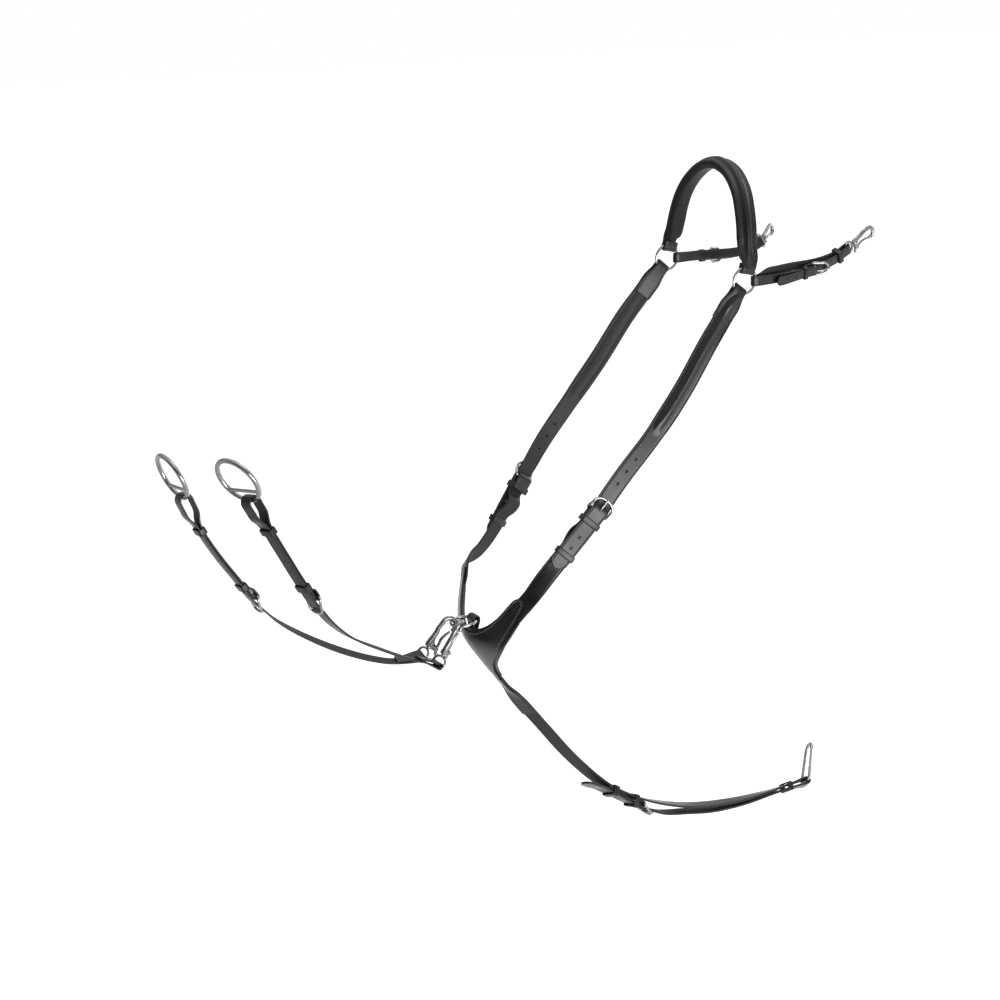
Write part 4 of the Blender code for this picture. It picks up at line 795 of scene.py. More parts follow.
def wither_padding():
    """The soft pad under the strap, crowned below and drawn in at its sides."""
    base = arch_base()
    drop = HEAVY_THICK / 2 + PAD_GAP + PAD_THICK / 2
    start, end = PAD_END, base.length - PAD_END
    count = int((end - start) / 2.4)
    rings = []
    for i in range(-PAD_CLOSING, count + PAD_CLOSING + 1):
        from_tip = PAD_CLOSING + min(i, count - i)
        close = min(from_tip / PAD_CLOSING, 1.0)
        if i < 0:
            s = start + 0.06 * from_tip**2
        elif i > count:
            s = end - 0.06 * from_tip**2
        else:
            s = start + 2.2 + (end - start - 4.4) * i / count
        point, ahead, out = base.frame(s)
        if abs(s - base.length / 2) < 5:
            point, ahead, out = Vector((CROWN_BACK, point.y, ARCH[-1][2])), Y_AXIS, Z_AXIS
        across = ahead.cross(out)
        near_end = min(s - start, end - s)
        full = min(1.0, 0.5 + 0.5 * math.sqrt(max(near_end, 0) / 8.0))
        full *= 0.35 + 0.65 * math.sqrt(max(0.0, 1 - (1 - close) ** 2))
        w = PAD_HALF_WIDTH * (0.8 + 0.2 * min(1.0, near_end / 26.0)) * (0.93 + 0.07 * close)
        top, low = PAD_THICK / 2, PAD_THICK / 2 - PAD_THICK * full
        outline = [(-0.93, top), (-1.0, top - 1.4 * full), (-0.97, top - 3.2 * full)]
        outline += [(-0.8, low + 1.1 * full), (-0.45, low)]
        outline += [(0.0, low), *[(-u, v) for u, v in outline[::-1]]]
        smooth = [Vector(r[:3]) for r in spline([(u * w, v, 0) for u, v in outline], 1.3)]
        centre = point - out * drop
        rings.append([centre + across * u + out * v for u, v, _ in resample(smooth, 30)])
    obj = stand_in("withers_padding", loft(rings), LINING, "withers", 70)


def resample(points, count):
    """An open line's points, evenly spaced and of the given number."""
    at = distances(points)
    out = []
    for k in range(count):
        s = at[-1] * k / (count - 1)
        i = max(j for j in range(len(at) - 1) if at[j] <= s or j == 0)
        out.append(points[i].lerp(points[i + 1], (s - at[i]) / max(at[i + 1] - at[i], 1e-9)))
    return out


def withers_ring(side, tag):
    centre = Vector((0.0, RING_SIDE * side, RING_DROP))
    bm = hoop(centre, RING_RADIUS, X_AXIS, Z_AXIS, Y_AXIS, RING_WIRE)
    stand_in("withers_ring_" + tag, bm, NICKEL, "withers_ring_" + tag)


# The two saddle straps: x, how far out and up from the withers ring, and tilt
SADDLE_LINE = {
    NEAR: [(14.8, 0, -1.5, 0.0), (38, 0.5, -0.5, 0.12), (78, 2.0, 4.0, 0.4), (109, 3.0, 9.5, 0.42),
           (138, 3.0, 18.5, 0.4), (154, 3.0, 27.0, 0.34)],
    FAR: [(14.8, 0, -1.5, 0.0), (38, 0.5, -2.0, 0.1), (74, 2.0, -3.5, 0.25), (106, 3.0, -4.0, 0.3),
          (134, 3.0, 0.0, 0.3), (149.5, 3.0, 7.5, 0.28)],
}
SADDLE_EYE_FOLD = EYE_WIRE + EYE_GAP + STRAP_THICK / 2
SADDLE_RING_FOLD = RING_WIRE + RING_GAP + STRAP_THICK / 2
BAR_FOLD = BUCKLE_WIRE + BAR_GAP + STRAP_THICK / 2
SADDLE_BAR = {NEAR: 84.0, FAR: 57.0}  # Where the buckle's bar crosses the strap
SADDLE_CHAPE = 4.8
SADDLE_SLIP = {NEAR: 7.0, FAR: 1.0}  # How far the inner layer stands up past the outer one
SADDLE_SNAP = {NEAR: (0.8, -0.05, 0.6), FAR: (0.83, 0.52, 0.19)}
SNAP_SCALE, SNAP_LENGTH = 1.05, 36.5


def saddle_base(side):
    """The line from a withers ring to the snap at the saddle."""
    knots = []
    for x, out, up, tilt in SADDLE_LINE[side]:
        knots.append((x, side * (RING_SIDE + out), RING_DROP + up, 0.0, side, -tilt))
    return Base(knots)


def saddle_strap(side, tag, base):
    """One strap through the ring and the snap's eye, buckled onto itself."""
    half, middle, top, end = SADDLE_HALF_WIDTH, SADDLE_BAR[side], SADDLE_CHAPE, base.length
    gap = [(0, SADDLE_RING_FOLD), (30, 3.4), (middle - 22, 4.6), (middle, top), (middle + 26, 4.6)]
    gap += [(end - 12, 3.4), (end, SADDLE_EYE_FOLD)]
    stations = run(base, middle - 9, middle, top - 2 * BAR_FOLD, half, 9, -1)
    fold(stations, base.ahead(middle), BAR_FOLD)
    stations += run(base, middle - 5, 0, gap, half, 14)
    fold(stations, -base.ahead(0), SADDLE_RING_FOLD)
    slip = SADDLE_SLIP[side]
    rise = [(4, 0.0), (24, slip), (34, slip), (end - 18, 0.0)]
    under = run(base, 10, end, [(s, -v) for s, v in gap], half, 14, -1)
    for i, (p, n, w, b) in enumerate(under):
        s = 10 + (end - 10) * i / (len(under) - 1)
        stations.append((p + Z_AXIS * read(rise, s), n, w, b))
    fold(stations, base.ahead(end), SADDLE_EYE_FOLD)
    over = STRAP_THICK + LAYER_GAP
    billet = [(middle - 54, 6.4 + over), (middle - 20, top + over), (middle + 2, top + over + 0.2)]
    billet += [(middle + 19, 4.7), (end - 12, 3.6), (end, SADDLE_EYE_FOLD)]
    stations += run(base, end - 8, middle - 16, billet, half, 11)
    for i, (p, n, w, b) in enumerate(run(base, middle - 26, middle - 50, billet, half, 8)):
        stations.append((p - Z_AXIS * (0.5 * (i + 1)), n, w, b))
    name = "saddle_strap_" + tag
    obj = strap(name, round_tip(fine(stations, 2.0), 6.0), STRAP_THICK, name)
    punch(obj, base, (middle - 28, middle - 41, middle + 14), billet, SMALL_HOLE)


def saddle_hardware(side, tag, base):
    """The buckle, its tongue and the two keepers of a saddle strap."""
    body, bar_n, rise = "saddle_strap_" + tag, SADDLE_CHAPE - BAR_FOLD, 6.4
    place = base.place(SADDLE_BAR[side])
    buckle("saddle_buckle_" + tag, place, SADDLE_HALF_WIDTH, 21.0, rise, bar_n, 1.2, body)
    rest = bar_n + rise + TONGUE_GAP + BUCKLE_WIRE + TONGUE_WIRE
    path = [(2.8, bar_n + 4.8), (6.0, 9.2), (9.5, 10.3), (16, rest - 0.1), (22.4, rest)]
    tongue("saddle_tongue_" + tag, place, bar_n, path)
    top = SADDLE_CHAPE + STRAP_THICK * 1.5 + 0.75
    front, rear = base.place(SADDLE_BAR[side] - 12), base.place(base.length - 16)
    keeper("saddle_keeper_front_" + tag, front, SADDLE_HALF_WIDTH + 0.35, 2.7, top, 6.0, body)
    keeper("saddle_keeper_rear_" + tag, rear, SADDLE_HALF_WIDTH + 0.6, -6.4, 6.6, 6.5, body)


def saddle_snap(side, tag, base):
    eye, ahead, out = base.frame(base.length)
    across = ahead.cross(out)
    along = Vector(SADDLE_SNAP[side])
    along -= across * along.dot(across)
    name = "saddle_snap_" + tag
    snap = Snap(name, eye, along, Y_AXIS, SNAP_SCALE, SNAP_LENGTH, SADDLE_HALF_WIDTH)
    snap.build(across, "saddle_snap_%s_" + tag)


# The chest piece, whose outlines are (y, z) from the middle of its front
CHEST_X, CHEST_Z = -345.0, -560.0
ARM_END = (66.0, 36.0)
ARM_AHEAD = (0.53, 0.85)
ARM_SKEW = 1.2
GIRTH_JOINT = -62.0
PATCH_TOP = [(0, 4), (9, 4.3), (21, 7.5), (32, 15), (43, 26), (52, 39), (60, 52)]
PATCH_END = [(60, 52), (64.5, 58), (71.5, 61.5), (77.6, 58.6), (79, 52), (76, 44)]
PATCH_UNDER = [(76, 44), (71.5, 31), (63.5, 12.5), (53.5, -4.5), (42, -17), (29, -29), (17.5, -41)]
PATCH_FOOT = [(9.5, -54), (8.0, -62), (5.0, -67), (0, -69)]


def chest_surface(y, z):
    sideways = 0.45 * (math.hypot(y, 15.0) - 15.0)
    drop = 0.8 * (math.hypot(z, 12.0) - 12.0) if z < 0 else 0.25 * (math.hypot(z, 25.0) - 25.0)
    return CHEST_X + sideways + drop


def chest_point(y, z, lift=0.0):
    """A point on the chest piece and the outward direction there, lifted along it."""
    e = 0.5
    x = chest_surface(y, z)
    dy = (chest_surface(y + e, z) - chest_surface(y - e, z)) / (2 * e)
    dz = (chest_surface(y, z + e) - chest_surface(y, z - e)) / (2 * e)
    out = Vector((-1.0, dy, dz)).normalized()
    return Vector((x, y, CHEST_Z + z)) + out * lift, out


def cut_corners(points, rounds=2):
    """A line made round by cutting off its corners again and again."""
    for _ in range(rounds):
        out = [points[0]]
        for (y, z), (p, q) in zip(points, points[1:]):
            out += [(y * 0.75 + p * 0.25, z * 0.75 + q * 0.25), (y * 0.25 + p * 0.75, z * 0.25 + q * 0.75)]
        points = [*out, points[-1]]
    return points


def mirrored(outline):
    return outline + [(-y, z) for y, z in reversed(outline) if y > 0.01]


def chest_sheet(name, outline, lift, thick, mat, spacing):
    """A leather sheet with the given front outline, curved as the chest piece is."""
    flat = bmesh.new()
    flat.faces.new([flat.verts.new((y, z, 0)) for y, z in mirrored(outline)])
    for axis in (X_AXIS, Y_AXIS):
        for k in range(-30, 31):
            whole = flat.verts[:] + flat.edges[:] + flat.faces[:]
            where = axis * (k * spacing)
            bmesh.ops.bisect_plane(flat, geom=whole, plane_co=where, plane_no=axis, dist=0.02)
    bmesh.ops.dissolve_degenerate(flat, dist=0.25, edges=flat.edges[:])
    bm = bmesh.new()
    tone = bm.verts.layers.float.new("worn")
    front, back = {}, {}
    rim = [edge for edge in flat.edges if len(edge.link_faces) == 1]
    rubbed = {vert for edge in rim for vert in edge.verts}
    for vert in flat.verts:
        for side, way in ((front, 1), (back, -1)):
            side[vert] = bm.verts.new(chest_point(vert.co.x, vert.co.y, lift + way * thick / 2)[0])
            side[vert][tone] = 0.7 if vert in rubbed else 0.0
    for face in flat.faces:
        bm.faces.new([front[v] for v in face.verts])
        bm.faces.new([back[v] for v in reversed(face.verts)])
    for edge in rim:
        a, b = edge.verts
        bm.faces.new((front[a], front[b], back[b], back[a]))
    flat.free()
    bevel = stand_in(name, bm, mat, "breast", 50).modifiers.new("soft_edge", "BEVEL")
    bevel.width = 0.0007 if thick > 2.5 else 0.0005
    bevel.segments = 3
    bevel.limit_method = "ANGLE"
    bevel.angle_limit = math.radians(60)


def yoke_outline():
    (y, z), (ey, ez), side = ARM_END, ARM_AHEAD, SHOULDER_HALF_WIDTH
    upper = (y - ez * side + ey * ARM_SKEW, z + ey * side + ez * ARM_SKEW)
    lower = (y + ez * side - ey * ARM_SKEW, z - ey * side - ez * ARM_SKEW)
    top = [(0, 8), (9, 8.3), (20, 10.5), (33, 18), (44, 29), upper]
    under = [lower, (66, 9), (56, -8), (44, -20), (31, -32), (20, -43), (13, -54)]
    return cut_corners(top) + cut_corners(under) + [(GIRTH_HALF_WIDTH, GIRTH_JOINT)]


def patch_outline():
    outline = cut_corners(PATCH_TOP) + cut_corners(PATCH_END, 3)[1:]
    return outline + cut_corners([*PATCH_UNDER, PATCH_FOOT[0]])[1:] + cut_corners(PATCH_FOOT, 3)[1:]


def inset(outline, distance):
    """A closed outline moved inwards by a distance."""
    loop = mirrored(outline)
    out = []
    for before, here, after in zip(loop[-1:] + loop, loop, loop[1:] + loop[:1]):
        dy, dz = after[0] - before[0], after[1] - before[1]
        long = math.hypot(dy, dz)
        if long > 1e-6:
            out.append((here[0] + dz / long * distance, here[1] - dy / long * distance))
    return out


def chest_piece():
    chest_sheet("chest_yoke", yoke_outline(), 0.0, CHEST_THICK, STRAP, 4.0)
    lift = CHEST_THICK / 2 + 0.45 + PATCH_THICK / 2
    chest_sheet("chest_patch", patch_outline(), lift, PATCH_THICK, PATCH, 3.5)
    line = [chest_point(y, z, lift + PATCH_THICK / 2) for y, z in inset(patch_outline(), 2.6)]
    stitches("chest_patch_stitches", [line + line[:1]], "breast", GREY_THREAD, 3.2, 0.42)


LOOP_HALF_WIDTH = 7.5
RING_BOW = CHEST_RING_RADIUS - math.sqrt(CHEST_RING_RADIUS**2 - LOOP_HALF_WIDTH**2)
LOOP_FOLD = CHEST_RING_WIRE + 0.6 + STRAP_THICK / 2 + RING_BOW / 2
LOOP_LIFT = -(CHEST_THICK / 2 + 1.2 + STRAP_THICK / 2)
LOOP_TOP = 19.0
LOOP_LEAN = 2.6
RING_TILT = math.radians(7)


def chest_loop():
    """The loop behind the yoke that holds the chest ring."""
    stations = []

    def add(rows, side):
        for z, lift in rows:
            point, out = chest_point(0, z, lift)
            stations.append((point, out * side, LOOP_HALF_WIDTH, 0.0))

    rise = ((-20, 0.0), (-8, 0.0), (4, 0.0), (11, 0.3), (LOOP_TOP, LOOP_LEAN))
    add([(z, LOOP_LIFT + lean) for z, lean in rise], 1)
    fold(stations, stations[-1][0] - stations[-2][0], LOOP_FOLD)
    add([(11, -10.4), (1, -8.2), (-9, -7.2), (-18, -7.1)], -1)
    strap("chest_ring_loop", fine(stations, 1.6), STRAP_THICK, "breast")


def chest_ring_frame():
    middle = chest_point(0, LOOP_TOP, LOOP_LIFT + LOOP_LEAN - LOOP_FOLD)[0]
    ahead = Vector((-math.cos(RING_TILT), 0, -math.sin(RING_TILT)))
    return middle + ahead * (CHEST_RING_RADIUS - RING_BOW / 2), ahead


def chest_ring():
    centre, ahead = chest_ring_frame()
    plane = ahead.cross(Y_AXIS)
    bm = hoop(centre, CHEST_RING_RADIUS, ahead, Y_AXIS, plane, CHEST_RING_WIRE)
    stand_in("chest_ring", bm, NICKEL, "chest_ring")


# The two shoulder straps: x, how far out from the withers ring, z from it, and the facing in x and z
SHOULDER_LINE = {
    NEAR: [(-8.1, 0.0, -10.4, 0.0, 0.0), (-17, 1.5, -22, -0.13, 0.04), (-38, 4, -49, -0.26, 0.08),
           (-56, 6, -72, -0.36, 0.12), (-94, 9, -126, -0.4, 0.13), (-136, 11, -177, -0.38, 0.12),
           (-183, 10, -228, -0.33, 0.11), (-215, 8, -267, -0.28, 0.1), (-250, 4, -306, -0.28, 0.1)],
    FAR: [(-8.1, 0.0, -10.4, 0.0, 0.0), (-17.5, 1.5, -22, 0.07, -0.04), (-39.5, 4, -49, 0.15, -0.09),
          (-58.5, 6, -72, 0.22, -0.13), (-97, 9, -126, 0.25, -0.15), (-138, 11, -177, 0.18, -0.12),
          (-181, 10, -228, 0.04, -0.06), (-209, 8, -267, -0.12, 0.0), (-238, 4, -306, -0.28, 0.05)],
}
SHOULDER_FOOT = {
    NEAR: [(-284, -88.5, -471, -0.8, -0.9, 0.17)],
    FAR: [(-265, 91, -471, -0.4, 0.9, 0.1), (-284.5, 87.5, -487, -0.62, 0.74, 0.1)],
}
BILLET_BAR = 333.0  # Where the buckle's bar crosses the shoulder straps
SHOULDER_BAR_FOLD = BUCKLE_WIRE + BAR_GAP + HEAVY_THICK / 2
BILLET_LIFT = HEAVY_THICK + LAYER_GAP
BEAD_SHIFT = {NEAR: 0.13, FAR: 0.0}  # How far the raised centre lies off the strap's middle
SHOULDER_HOLES = (250, 269, 288, 369, 386)


def shoulder_base(side):
    """The line from a withers ring to the chest piece, for the upper and the lower strap."""
    knots = []
    for x, out, z, ahead, up in SHOULDER_LINE[side]:
        knots.append((x, side * (RING_SIDE + out), RING_DROP + z, ahead, side, up))
    knots += SHOULDER_FOOT[side]
    for beyond, turned_in in ((34.0, 0.08), (14.0, 0.16), (0.45, 0.0)):
        y, z = (end + ahead * beyond for end, ahead in zip(ARM_END, ARM_AHEAD))
        point, out = chest_point(side * y, z)
        if side == FAR:
            out = out - Y_AXIS * turned_in
        knots.append((*point, *out))
    return Base(knots)


def shoulder_upper(side, tag, base):
    """The raised strap from the withers ring, whose end is the billet with its holes."""
    bar_s, loop, raised, billet = BILLET_BAR, 9.0, 12.5, SHOULDER_HALF_WIDTH
    half = [(6, loop), (22, raised), (185, raised), (215, billet)]
    stations = run(base, 46, 0, [(0, -FOLD_AT_RING), (46, -3.5)], half, 12, -1)
    fold(stations, -base.ahead(0), FOLD_AT_RING)
    lift = [(0, FOLD_AT_RING), (40, 0.0), (bar_s - 19, 0.0), (bar_s - 2, BILLET_LIFT)]
    bead = [(8, 0.0), (24, BEAD_HEIGHT), (188, BEAD_HEIGHT), (210, 0.0)]
    stations += run(base, 6, 212, lift, half, 16, 1.0, bead)
    stations += run(base, 226, bar_s - 21, lift, half, 22)
    stations += run(base, bar_s - 13, bar_s + 1, lift, half, 7)
    stations += run(base, bar_s + 14, bar_s + 56, lift, half, 10)
    point, ahead, out = base.frame(bar_s + 58)
    stations += [(point + out * BILLET_LIFT + ahead * d, out, billet, 0.0) for d in (2.0, 9.0, 16.0)]
    smooth = round_tip(fine(stations), 10.0)
    shift, name = BEAD_SHIFT[side], "shoulder_strap_" + tag
    obj = strap(name, smooth, HEAVY_THICK, "breast", True, shift)
    punch(obj, base, SHOULDER_HOLES, lift)
    lines = bead_lines(smooth, HEAVY_THICK, shift) + bead_lines(smooth, HEAVY_THICK, 0.0, -1.0)
    row = last_near(smooth, base.point(40), 8)
    lines.append(cross_line(row, row[3] * 0.9, HEAVY_THICK))
    stitches(name + "_stitches", lines, "breast")


def shoulder_lower(tag, base):
    """The lower strap, from its fold round the buckle's bar to the chest piece."""
    bar_s, half = BILLET_BAR, SHOULDER_HALF_WIDTH
    bow = [(bar_s + 18, 0.0), (bar_s + 37, -9.5), (bar_s + 57, -0.2), (bar_s + 90, 0.0)]
    stations = run(base, bar_s + 18, bar_s, -2 * SHOULDER_BAR_FOLD, half, 9, -1)
    fold(stations, -base.ahead(bar_s), SHOULDER_BAR_FOLD)
    stations += run(base, bar_s + 5, bar_s + 14, bow, half, 9)
    stations += run(base, bar_s + 24, bar_s + 74, bow, half, 10)
    stations += run(base, bar_s + 87, base.length, bow, half, 14)
    strap("shoulder_chape_strap_" + tag, fine(stations), HEAVY_THICK, "breast")


def shoulder_hardware(tag, base):
    """The buckle, its tongue and the two keepers where the shoulder straps overlap."""
    place, bar_n = base.place(BILLET_BAR, -1), -SHOULDER_BAR_FOLD
    arc = HEAVY_THICK / 2 + 0.6 + BUCKLE_WIRE
    name = "shoulder_buckle_" + tag
    buckle(name, place, SHOULDER_HALF_WIDTH, 20.0, arc - bar_n, bar_n, 3.0, "breast")
    rest = arc + BUCKLE_WIRE + TONGUE_WIRE + TONGUE_GAP
    path = [(2.8, 1.6), (6.0, 4.9), (9.5, 5.7), (15, rest - 0.05), (21.6, rest)]
    tongue("shoulder_tongue_" + tag, place, bar_n, path)
    half, high = SHOULDER_HALF_WIDTH + CLEAR, BILLET_LIFT + HEAVY_THICK / 2 + 0.7
    low = -2 * SHOULDER_BAR_FOLD - HEAVY_THICK / 2 - CLEAR
    upper, lower = base.place(BILLET_BAR + 14), base.place(BILLET_BAR + 64)
    keeper("shoulder_keeper_upper_" + tag, upper, half, low, high, 8.0, "breast")
    keeper("shoulder_keeper_lower_" + tag, lower, half, -2.4, high + 0.5, 8.0, "breast")


# The girth strap: points of its line, each with its outward direction
GIRTH_LINE = [
    (-275, 0, -659, -0.64, -0.44, -0.62), (-236, 0, -707, -0.63, -0.52, -0.56),
    (-190, 0, -762, -0.62, -0.52, -0.57), (-137, 0, -812, -0.45, -0.46, -0.77),
    (-107, 0, -830, -0.39, -0.33, -0.86), (-66, 0, -849, -0.3, -0.15, -0.94),
    (4, 0, -870, -0.1, -0.05, -1), (80, 0, -878, 0.03, -0.15, -1),
    (142, 0, -876, 0.05, -0.45, -0.9), (190, 0, -874, 0.0, -0.75, -0.8),
]
GIRTH_HOOK_WIRE = 2.0
GIRTH_FOLD = GIRTH_HOOK_WIRE + RING_GAP + HEAVY_THICK / 2
GIRTH_BAR_BACK = 278.0  # From the girth snap to the girth buckle's bar
GIRTH_STUB = HEAVY_THICK / 2 + LAYER_GAP + STRAP_THICK / 2
GIRTH_SEWN = HEAVY_THICK / 2 - LAYER_GAP + STRAP_THICK / 2
GIRTH_CHAPE = GIRTH_STUB + 2 * BAR_FOLD
GIRTH_BILLET = GIRTH_CHAPE + STRAP_THICK / 2 + LAYER_GAP + HEAVY_THICK / 2
LAP_THICK = 1.7


def girth_base():
    knots = []
    for down in (0.7, 7, 19):
        point, out = chest_point(0, GIRTH_JOINT - down)
        knots.append((*point, *out))
    return Base(knots + GIRTH_LINE)


def girth_strap(base, bar_s):
    """The strap between the forelegs: out to the snap, and back through its buckle."""
    end, over = base.length, GIRTH_BILLET
    half = [(0, GIRTH_HALF_WIDTH), (end - 40, GIRTH_HALF_WIDTH), (end - 12, 8.2)]
    out = [(bar_s + 40, 0.0), (end - 60, -1.2), (end - 20, -3.0), (end, -GIRTH_FOLD)]
    stations = run(base, 0, end, out, half, 20, -1)
    fold(stations, base.ahead(end), GIRTH_FOLD)
    back = [(bar_s - 95, 14.5), (bar_s - 74, 8.0), (bar_s - 60, 6.3), (bar_s - 44, 6.3)]
    back += [(bar_s - 26, 8.6), (bar_s - 2, over), (bar_s + 20, over - 0.4), (bar_s + 34, over + 0.6)]
    back += [(bar_s + 90, 8.0), (end - 60, 2.9), (end - 20, 3.0), (end, GIRTH_FOLD)]
    stations += run(base, end - 9, bar_s + 40, back, half, 18)
    stations += run(base, bar_s + 28, bar_s - 95, back, half, 11)
    obj = strap("girth_strap", round_tip(fine(stations), 8.0), HEAVY_THICK, "breast")
    punch(obj, base, (bar_s - 84, bar_s - 68, bar_s + 36, bar_s + 54), back)


def girth_chape(base, bar_s):
    """The short strap that holds the girth buckle, sewn onto the girth strap."""
    half = GIRTH_HALF_WIDTH - 0.4
    stations = run(base, bar_s - 20, bar_s, GIRTH_STUB, half, 10, -1)
    fold(stations, base.ahead(bar_s), BAR_FOLD)
    over = [(bar_s - 42, GIRTH_SEWN), (bar_s - 24, 6.0), (bar_s - 3, GIRTH_CHAPE)]
    smooth = fine(stations + run(base, bar_s - 4, bar_s - 64, over, half, 9))
    strap("girth_chape", smooth, STRAP_THICK, "breast", stands=False)
    lines = edge_lines(smooth, int(len(smooth) * 0.72), -1, 1.6, STRAP_THICK)
    lines.append(cross_line(frames(smooth)[-3], half - 1, STRAP_THICK))
    stitches("girth_chape_stitches", lines, "breast")


def girth_lap(base):
    """The yoke's foot, which runs on over the top of the girth strap and is sewn to it."""
    half = [(0, GIRTH_HALF_WIDTH - 0.6), (30, GIRTH_HALF_WIDTH + 0.3)]
    lift = [(0, 2.2), (9, 2.6), (70, 2.55), (78, 2.3)]
    smooth = fine(run(base, 6, 78, lift, half, 8), 2.0)
    strap("girth_lap", smooth, LAP_THICK, "breast", stands=False)
    lines = edge_lines(smooth, 2, -2, 1.5, LAP_THICK)
    lines.append(cross_line(frames(smooth)[-2], GIRTH_HALF_WIDTH, LAP_THICK))
    stitches("girth_lap_stitches", lines, "breast")


def girth_hardware(base, bar_s):
    place, bar_n, half = base.place(bar_s), GIRTH_CHAPE - BAR_FOLD, GIRTH_HALF_WIDTH + CLEAR
    arc = GIRTH_BILLET - CLEAR + HEAVY_THICK / 2 + LAYER_GAP + BUCKLE_WIRE
    buckle("girth_buckle", place, GIRTH_HALF_WIDTH, 21.0, arc - bar_n, bar_n, 2.5, "breast")
    rest = arc + BUCKLE_WIRE + TONGUE_WIRE + TONGUE_GAP
    path = [(2.6, bar_n + 5.0), (5.6, bar_n + 8.4), (9.2, rest - 1.9), (15.5, rest - 0.3), (22.4, rest)]
    tongue("girth_tongue", place, bar_n, path)
    keeper("girth_keeper_buckle", base.place(bar_s - 14), half, -2.0, 12.9, 7.0, "breast")
    keeper("girth_keeper_tip", base.place(bar_s - 52), half, -2.4, 8.9, 9.0, "breast")
    keeper("girth_keeper_snap", base.place(base.length - 32), half, -4.8, 5.0, 9.0, "breast")


def girth_snap(base):
    """The long spring hook: its bar lies in the strap's fold, and a gate closes its side."""
    eye, ahead, out = base.frame(base.length)
    across = ahead.cross(out)
    along = Vector((0.5, 0.55, 0.66))
    along = (along - across * along.dot(across)).normalized()
    side = across if across.y < 0 else -across
    normal = along.cross(side)

    def at(a, c):
        return eye + along * a + side * c

    path = [(14.7, 11.2), (6, 11.6), (2.4, 11.2), (0.5, 10.0), (0, 8.4), (0, 0), (0, -8.4), (0.5, -10.0)]
    path += [(2.4, -11.2), (6, -11.6), (20, -11.0), (36, -9.8), (47, -9.2), (54, -7.2), (58.5, -3.2)]
    path += [(59.8, 1.0), (58, 5.4), (54.2, 8.5), (50, 9.9)]
    bm = bar([at(*p) for p in path], [GIRTH_HOOK_WIRE] * 16 + [2.1, 2.5, 2.7], normal, False, 20, 1.2)
    stand_in("girth_snap_hook", bm, CAST, "girth_hook")
    gate = [at(a, c) for a, c in ((15.2, 11.2), (22, 10.9), (34, 10.4), (49.4, 9.9))]
    bm = bar(gate, [1.9, 1.7, 1.7, 1.6], normal, False, 18, 1.2)
    for way in (-1, 1):
        turned(at(17.6, 11.1), normal * way, [(1.2, 1.2), (2.0, 1.2), (2.3, 0.9), (2.45, 0.4)], 16, bm)
    stand_in("girth_snap_gate", bm, CAST, "girth_gate")


# The fork: two straps from the chest ring to the rein rings
FORK_SCALE, FORK_LENGTH, FORK_HEAD = 1.5, 35.5, 2.1
FORK_EYE_FOLD = EYE_WIRE + EYE_GAP + STRAP_THICK / 2
# How many degrees round the chest ring each snap's head hangs, and where the snap points
FORK_HOLD = {NEAR: (-48.0, (0.56, -0.03, 0.82)), FAR: (12.0, (0.65, -0.21, 0.73))}
# Points of each strap's line, with its outward direction
FORK_LINES = {
    NEAR: [
        (-415, -16, -581, -0.05, 0, -1), (-440, -21, -570.5, -0.25, 0, -1),
        (-484, -31, -547, -0.4, 0, -0.9), (-530, -43, -519.5, -0.5, -0.1, -0.85),
        (-562, -53, -491, -0.65, -0.25, -0.7), (-584, -60, -462, -0.75, -0.32, -0.55),
        (-604, -63.5, -430, -0.8, -0.34, -0.47), (-624.5, -67, -395, -0.8, -0.34, -0.47),
        (-643.5, -69.5, -362, -0.8, -0.34, -0.47), (-664.9, -71.4, -323.6, -0.8, -0.34, -0.47),
    ],
    FAR: [
        (-434, 18, -588, 0, 0.05, -1), (-460, 25, -583.5, -0.15, 0.15, -1),
        (-505, 38, -567, -0.35, 0.25, -0.93), (-553, 50, -541, -0.5, 0.2, -0.85),
        (-586, 56, -517, -0.65, 0.08, -0.7), (-610, 60, -491, -0.8, -0.08, -0.55),
        (-630, 63, -462, -0.88, -0.08, -0.42), (-652, 67, -430, -0.91, -0.08, -0.38),
        (-673, 71, -394, -0.91, -0.08, -0.38), (-689.9, 74.3, -355, -0.91, -0.08, -0.38),
    ],
}
FORK_TOP_LOOP = 8.0
FORK_UNDER, FORK_OVER = -1.4, 1.7  # The two layers of a fork strap at its holes
REIN_RING_POINTS = 96


def fork_snap(side, tag):
    """The snap at the foot of a fork strap, with its head round the chest ring."""
    centre, ahead = chest_ring_frame()
    degrees, along = FORK_HOLD[side]
    a = math.radians(degrees)
    spot = centre + (ahead * math.cos(a) + Y_AXIS * math.sin(a)) * CHEST_RING_RADIUS
    tangent = Y_AXIS * math.cos(a) - ahead * math.sin(a)
    along = Vector(along).normalized()
    side_way = (tangent - along * tangent.dot(along)).cross(along).normalized()
    play = (6.0 - FORK_HEAD) * FORK_SCALE - CHEST_RING_WIRE - 1.1
    head = spot - (along * 0.8 + side_way * 0.6) * play
    name, origin = "fork_snap_" + tag, head - along * (FORK_LENGTH * FORK_SCALE)
    return Snap(name, origin, along, tangent, FORK_SCALE, FORK_LENGTH, FORK_HALF_WIDTH, FORK_HEAD)


def fork_base(side, snap):
    """The line of a fork strap, which starts square to the bar of its snap's eye."""
    ahead = Base([(*snap.o, 0, 0, -1), *FORK_LINES[side]]).ahead(0)
    out = ahead.cross(snap.a).normalized().cross(ahead)
    if out.z > 0:
        out = -out
    return Base([(*snap.o, *out), *FORK_LINES[side]])


def fork_marks(base):
    """The lengths of the buckle's bar, the lower keeper and the upper keeper."""
    upper = base.length - 44.0
    return upper - 111.0, upper - 91.0, upper


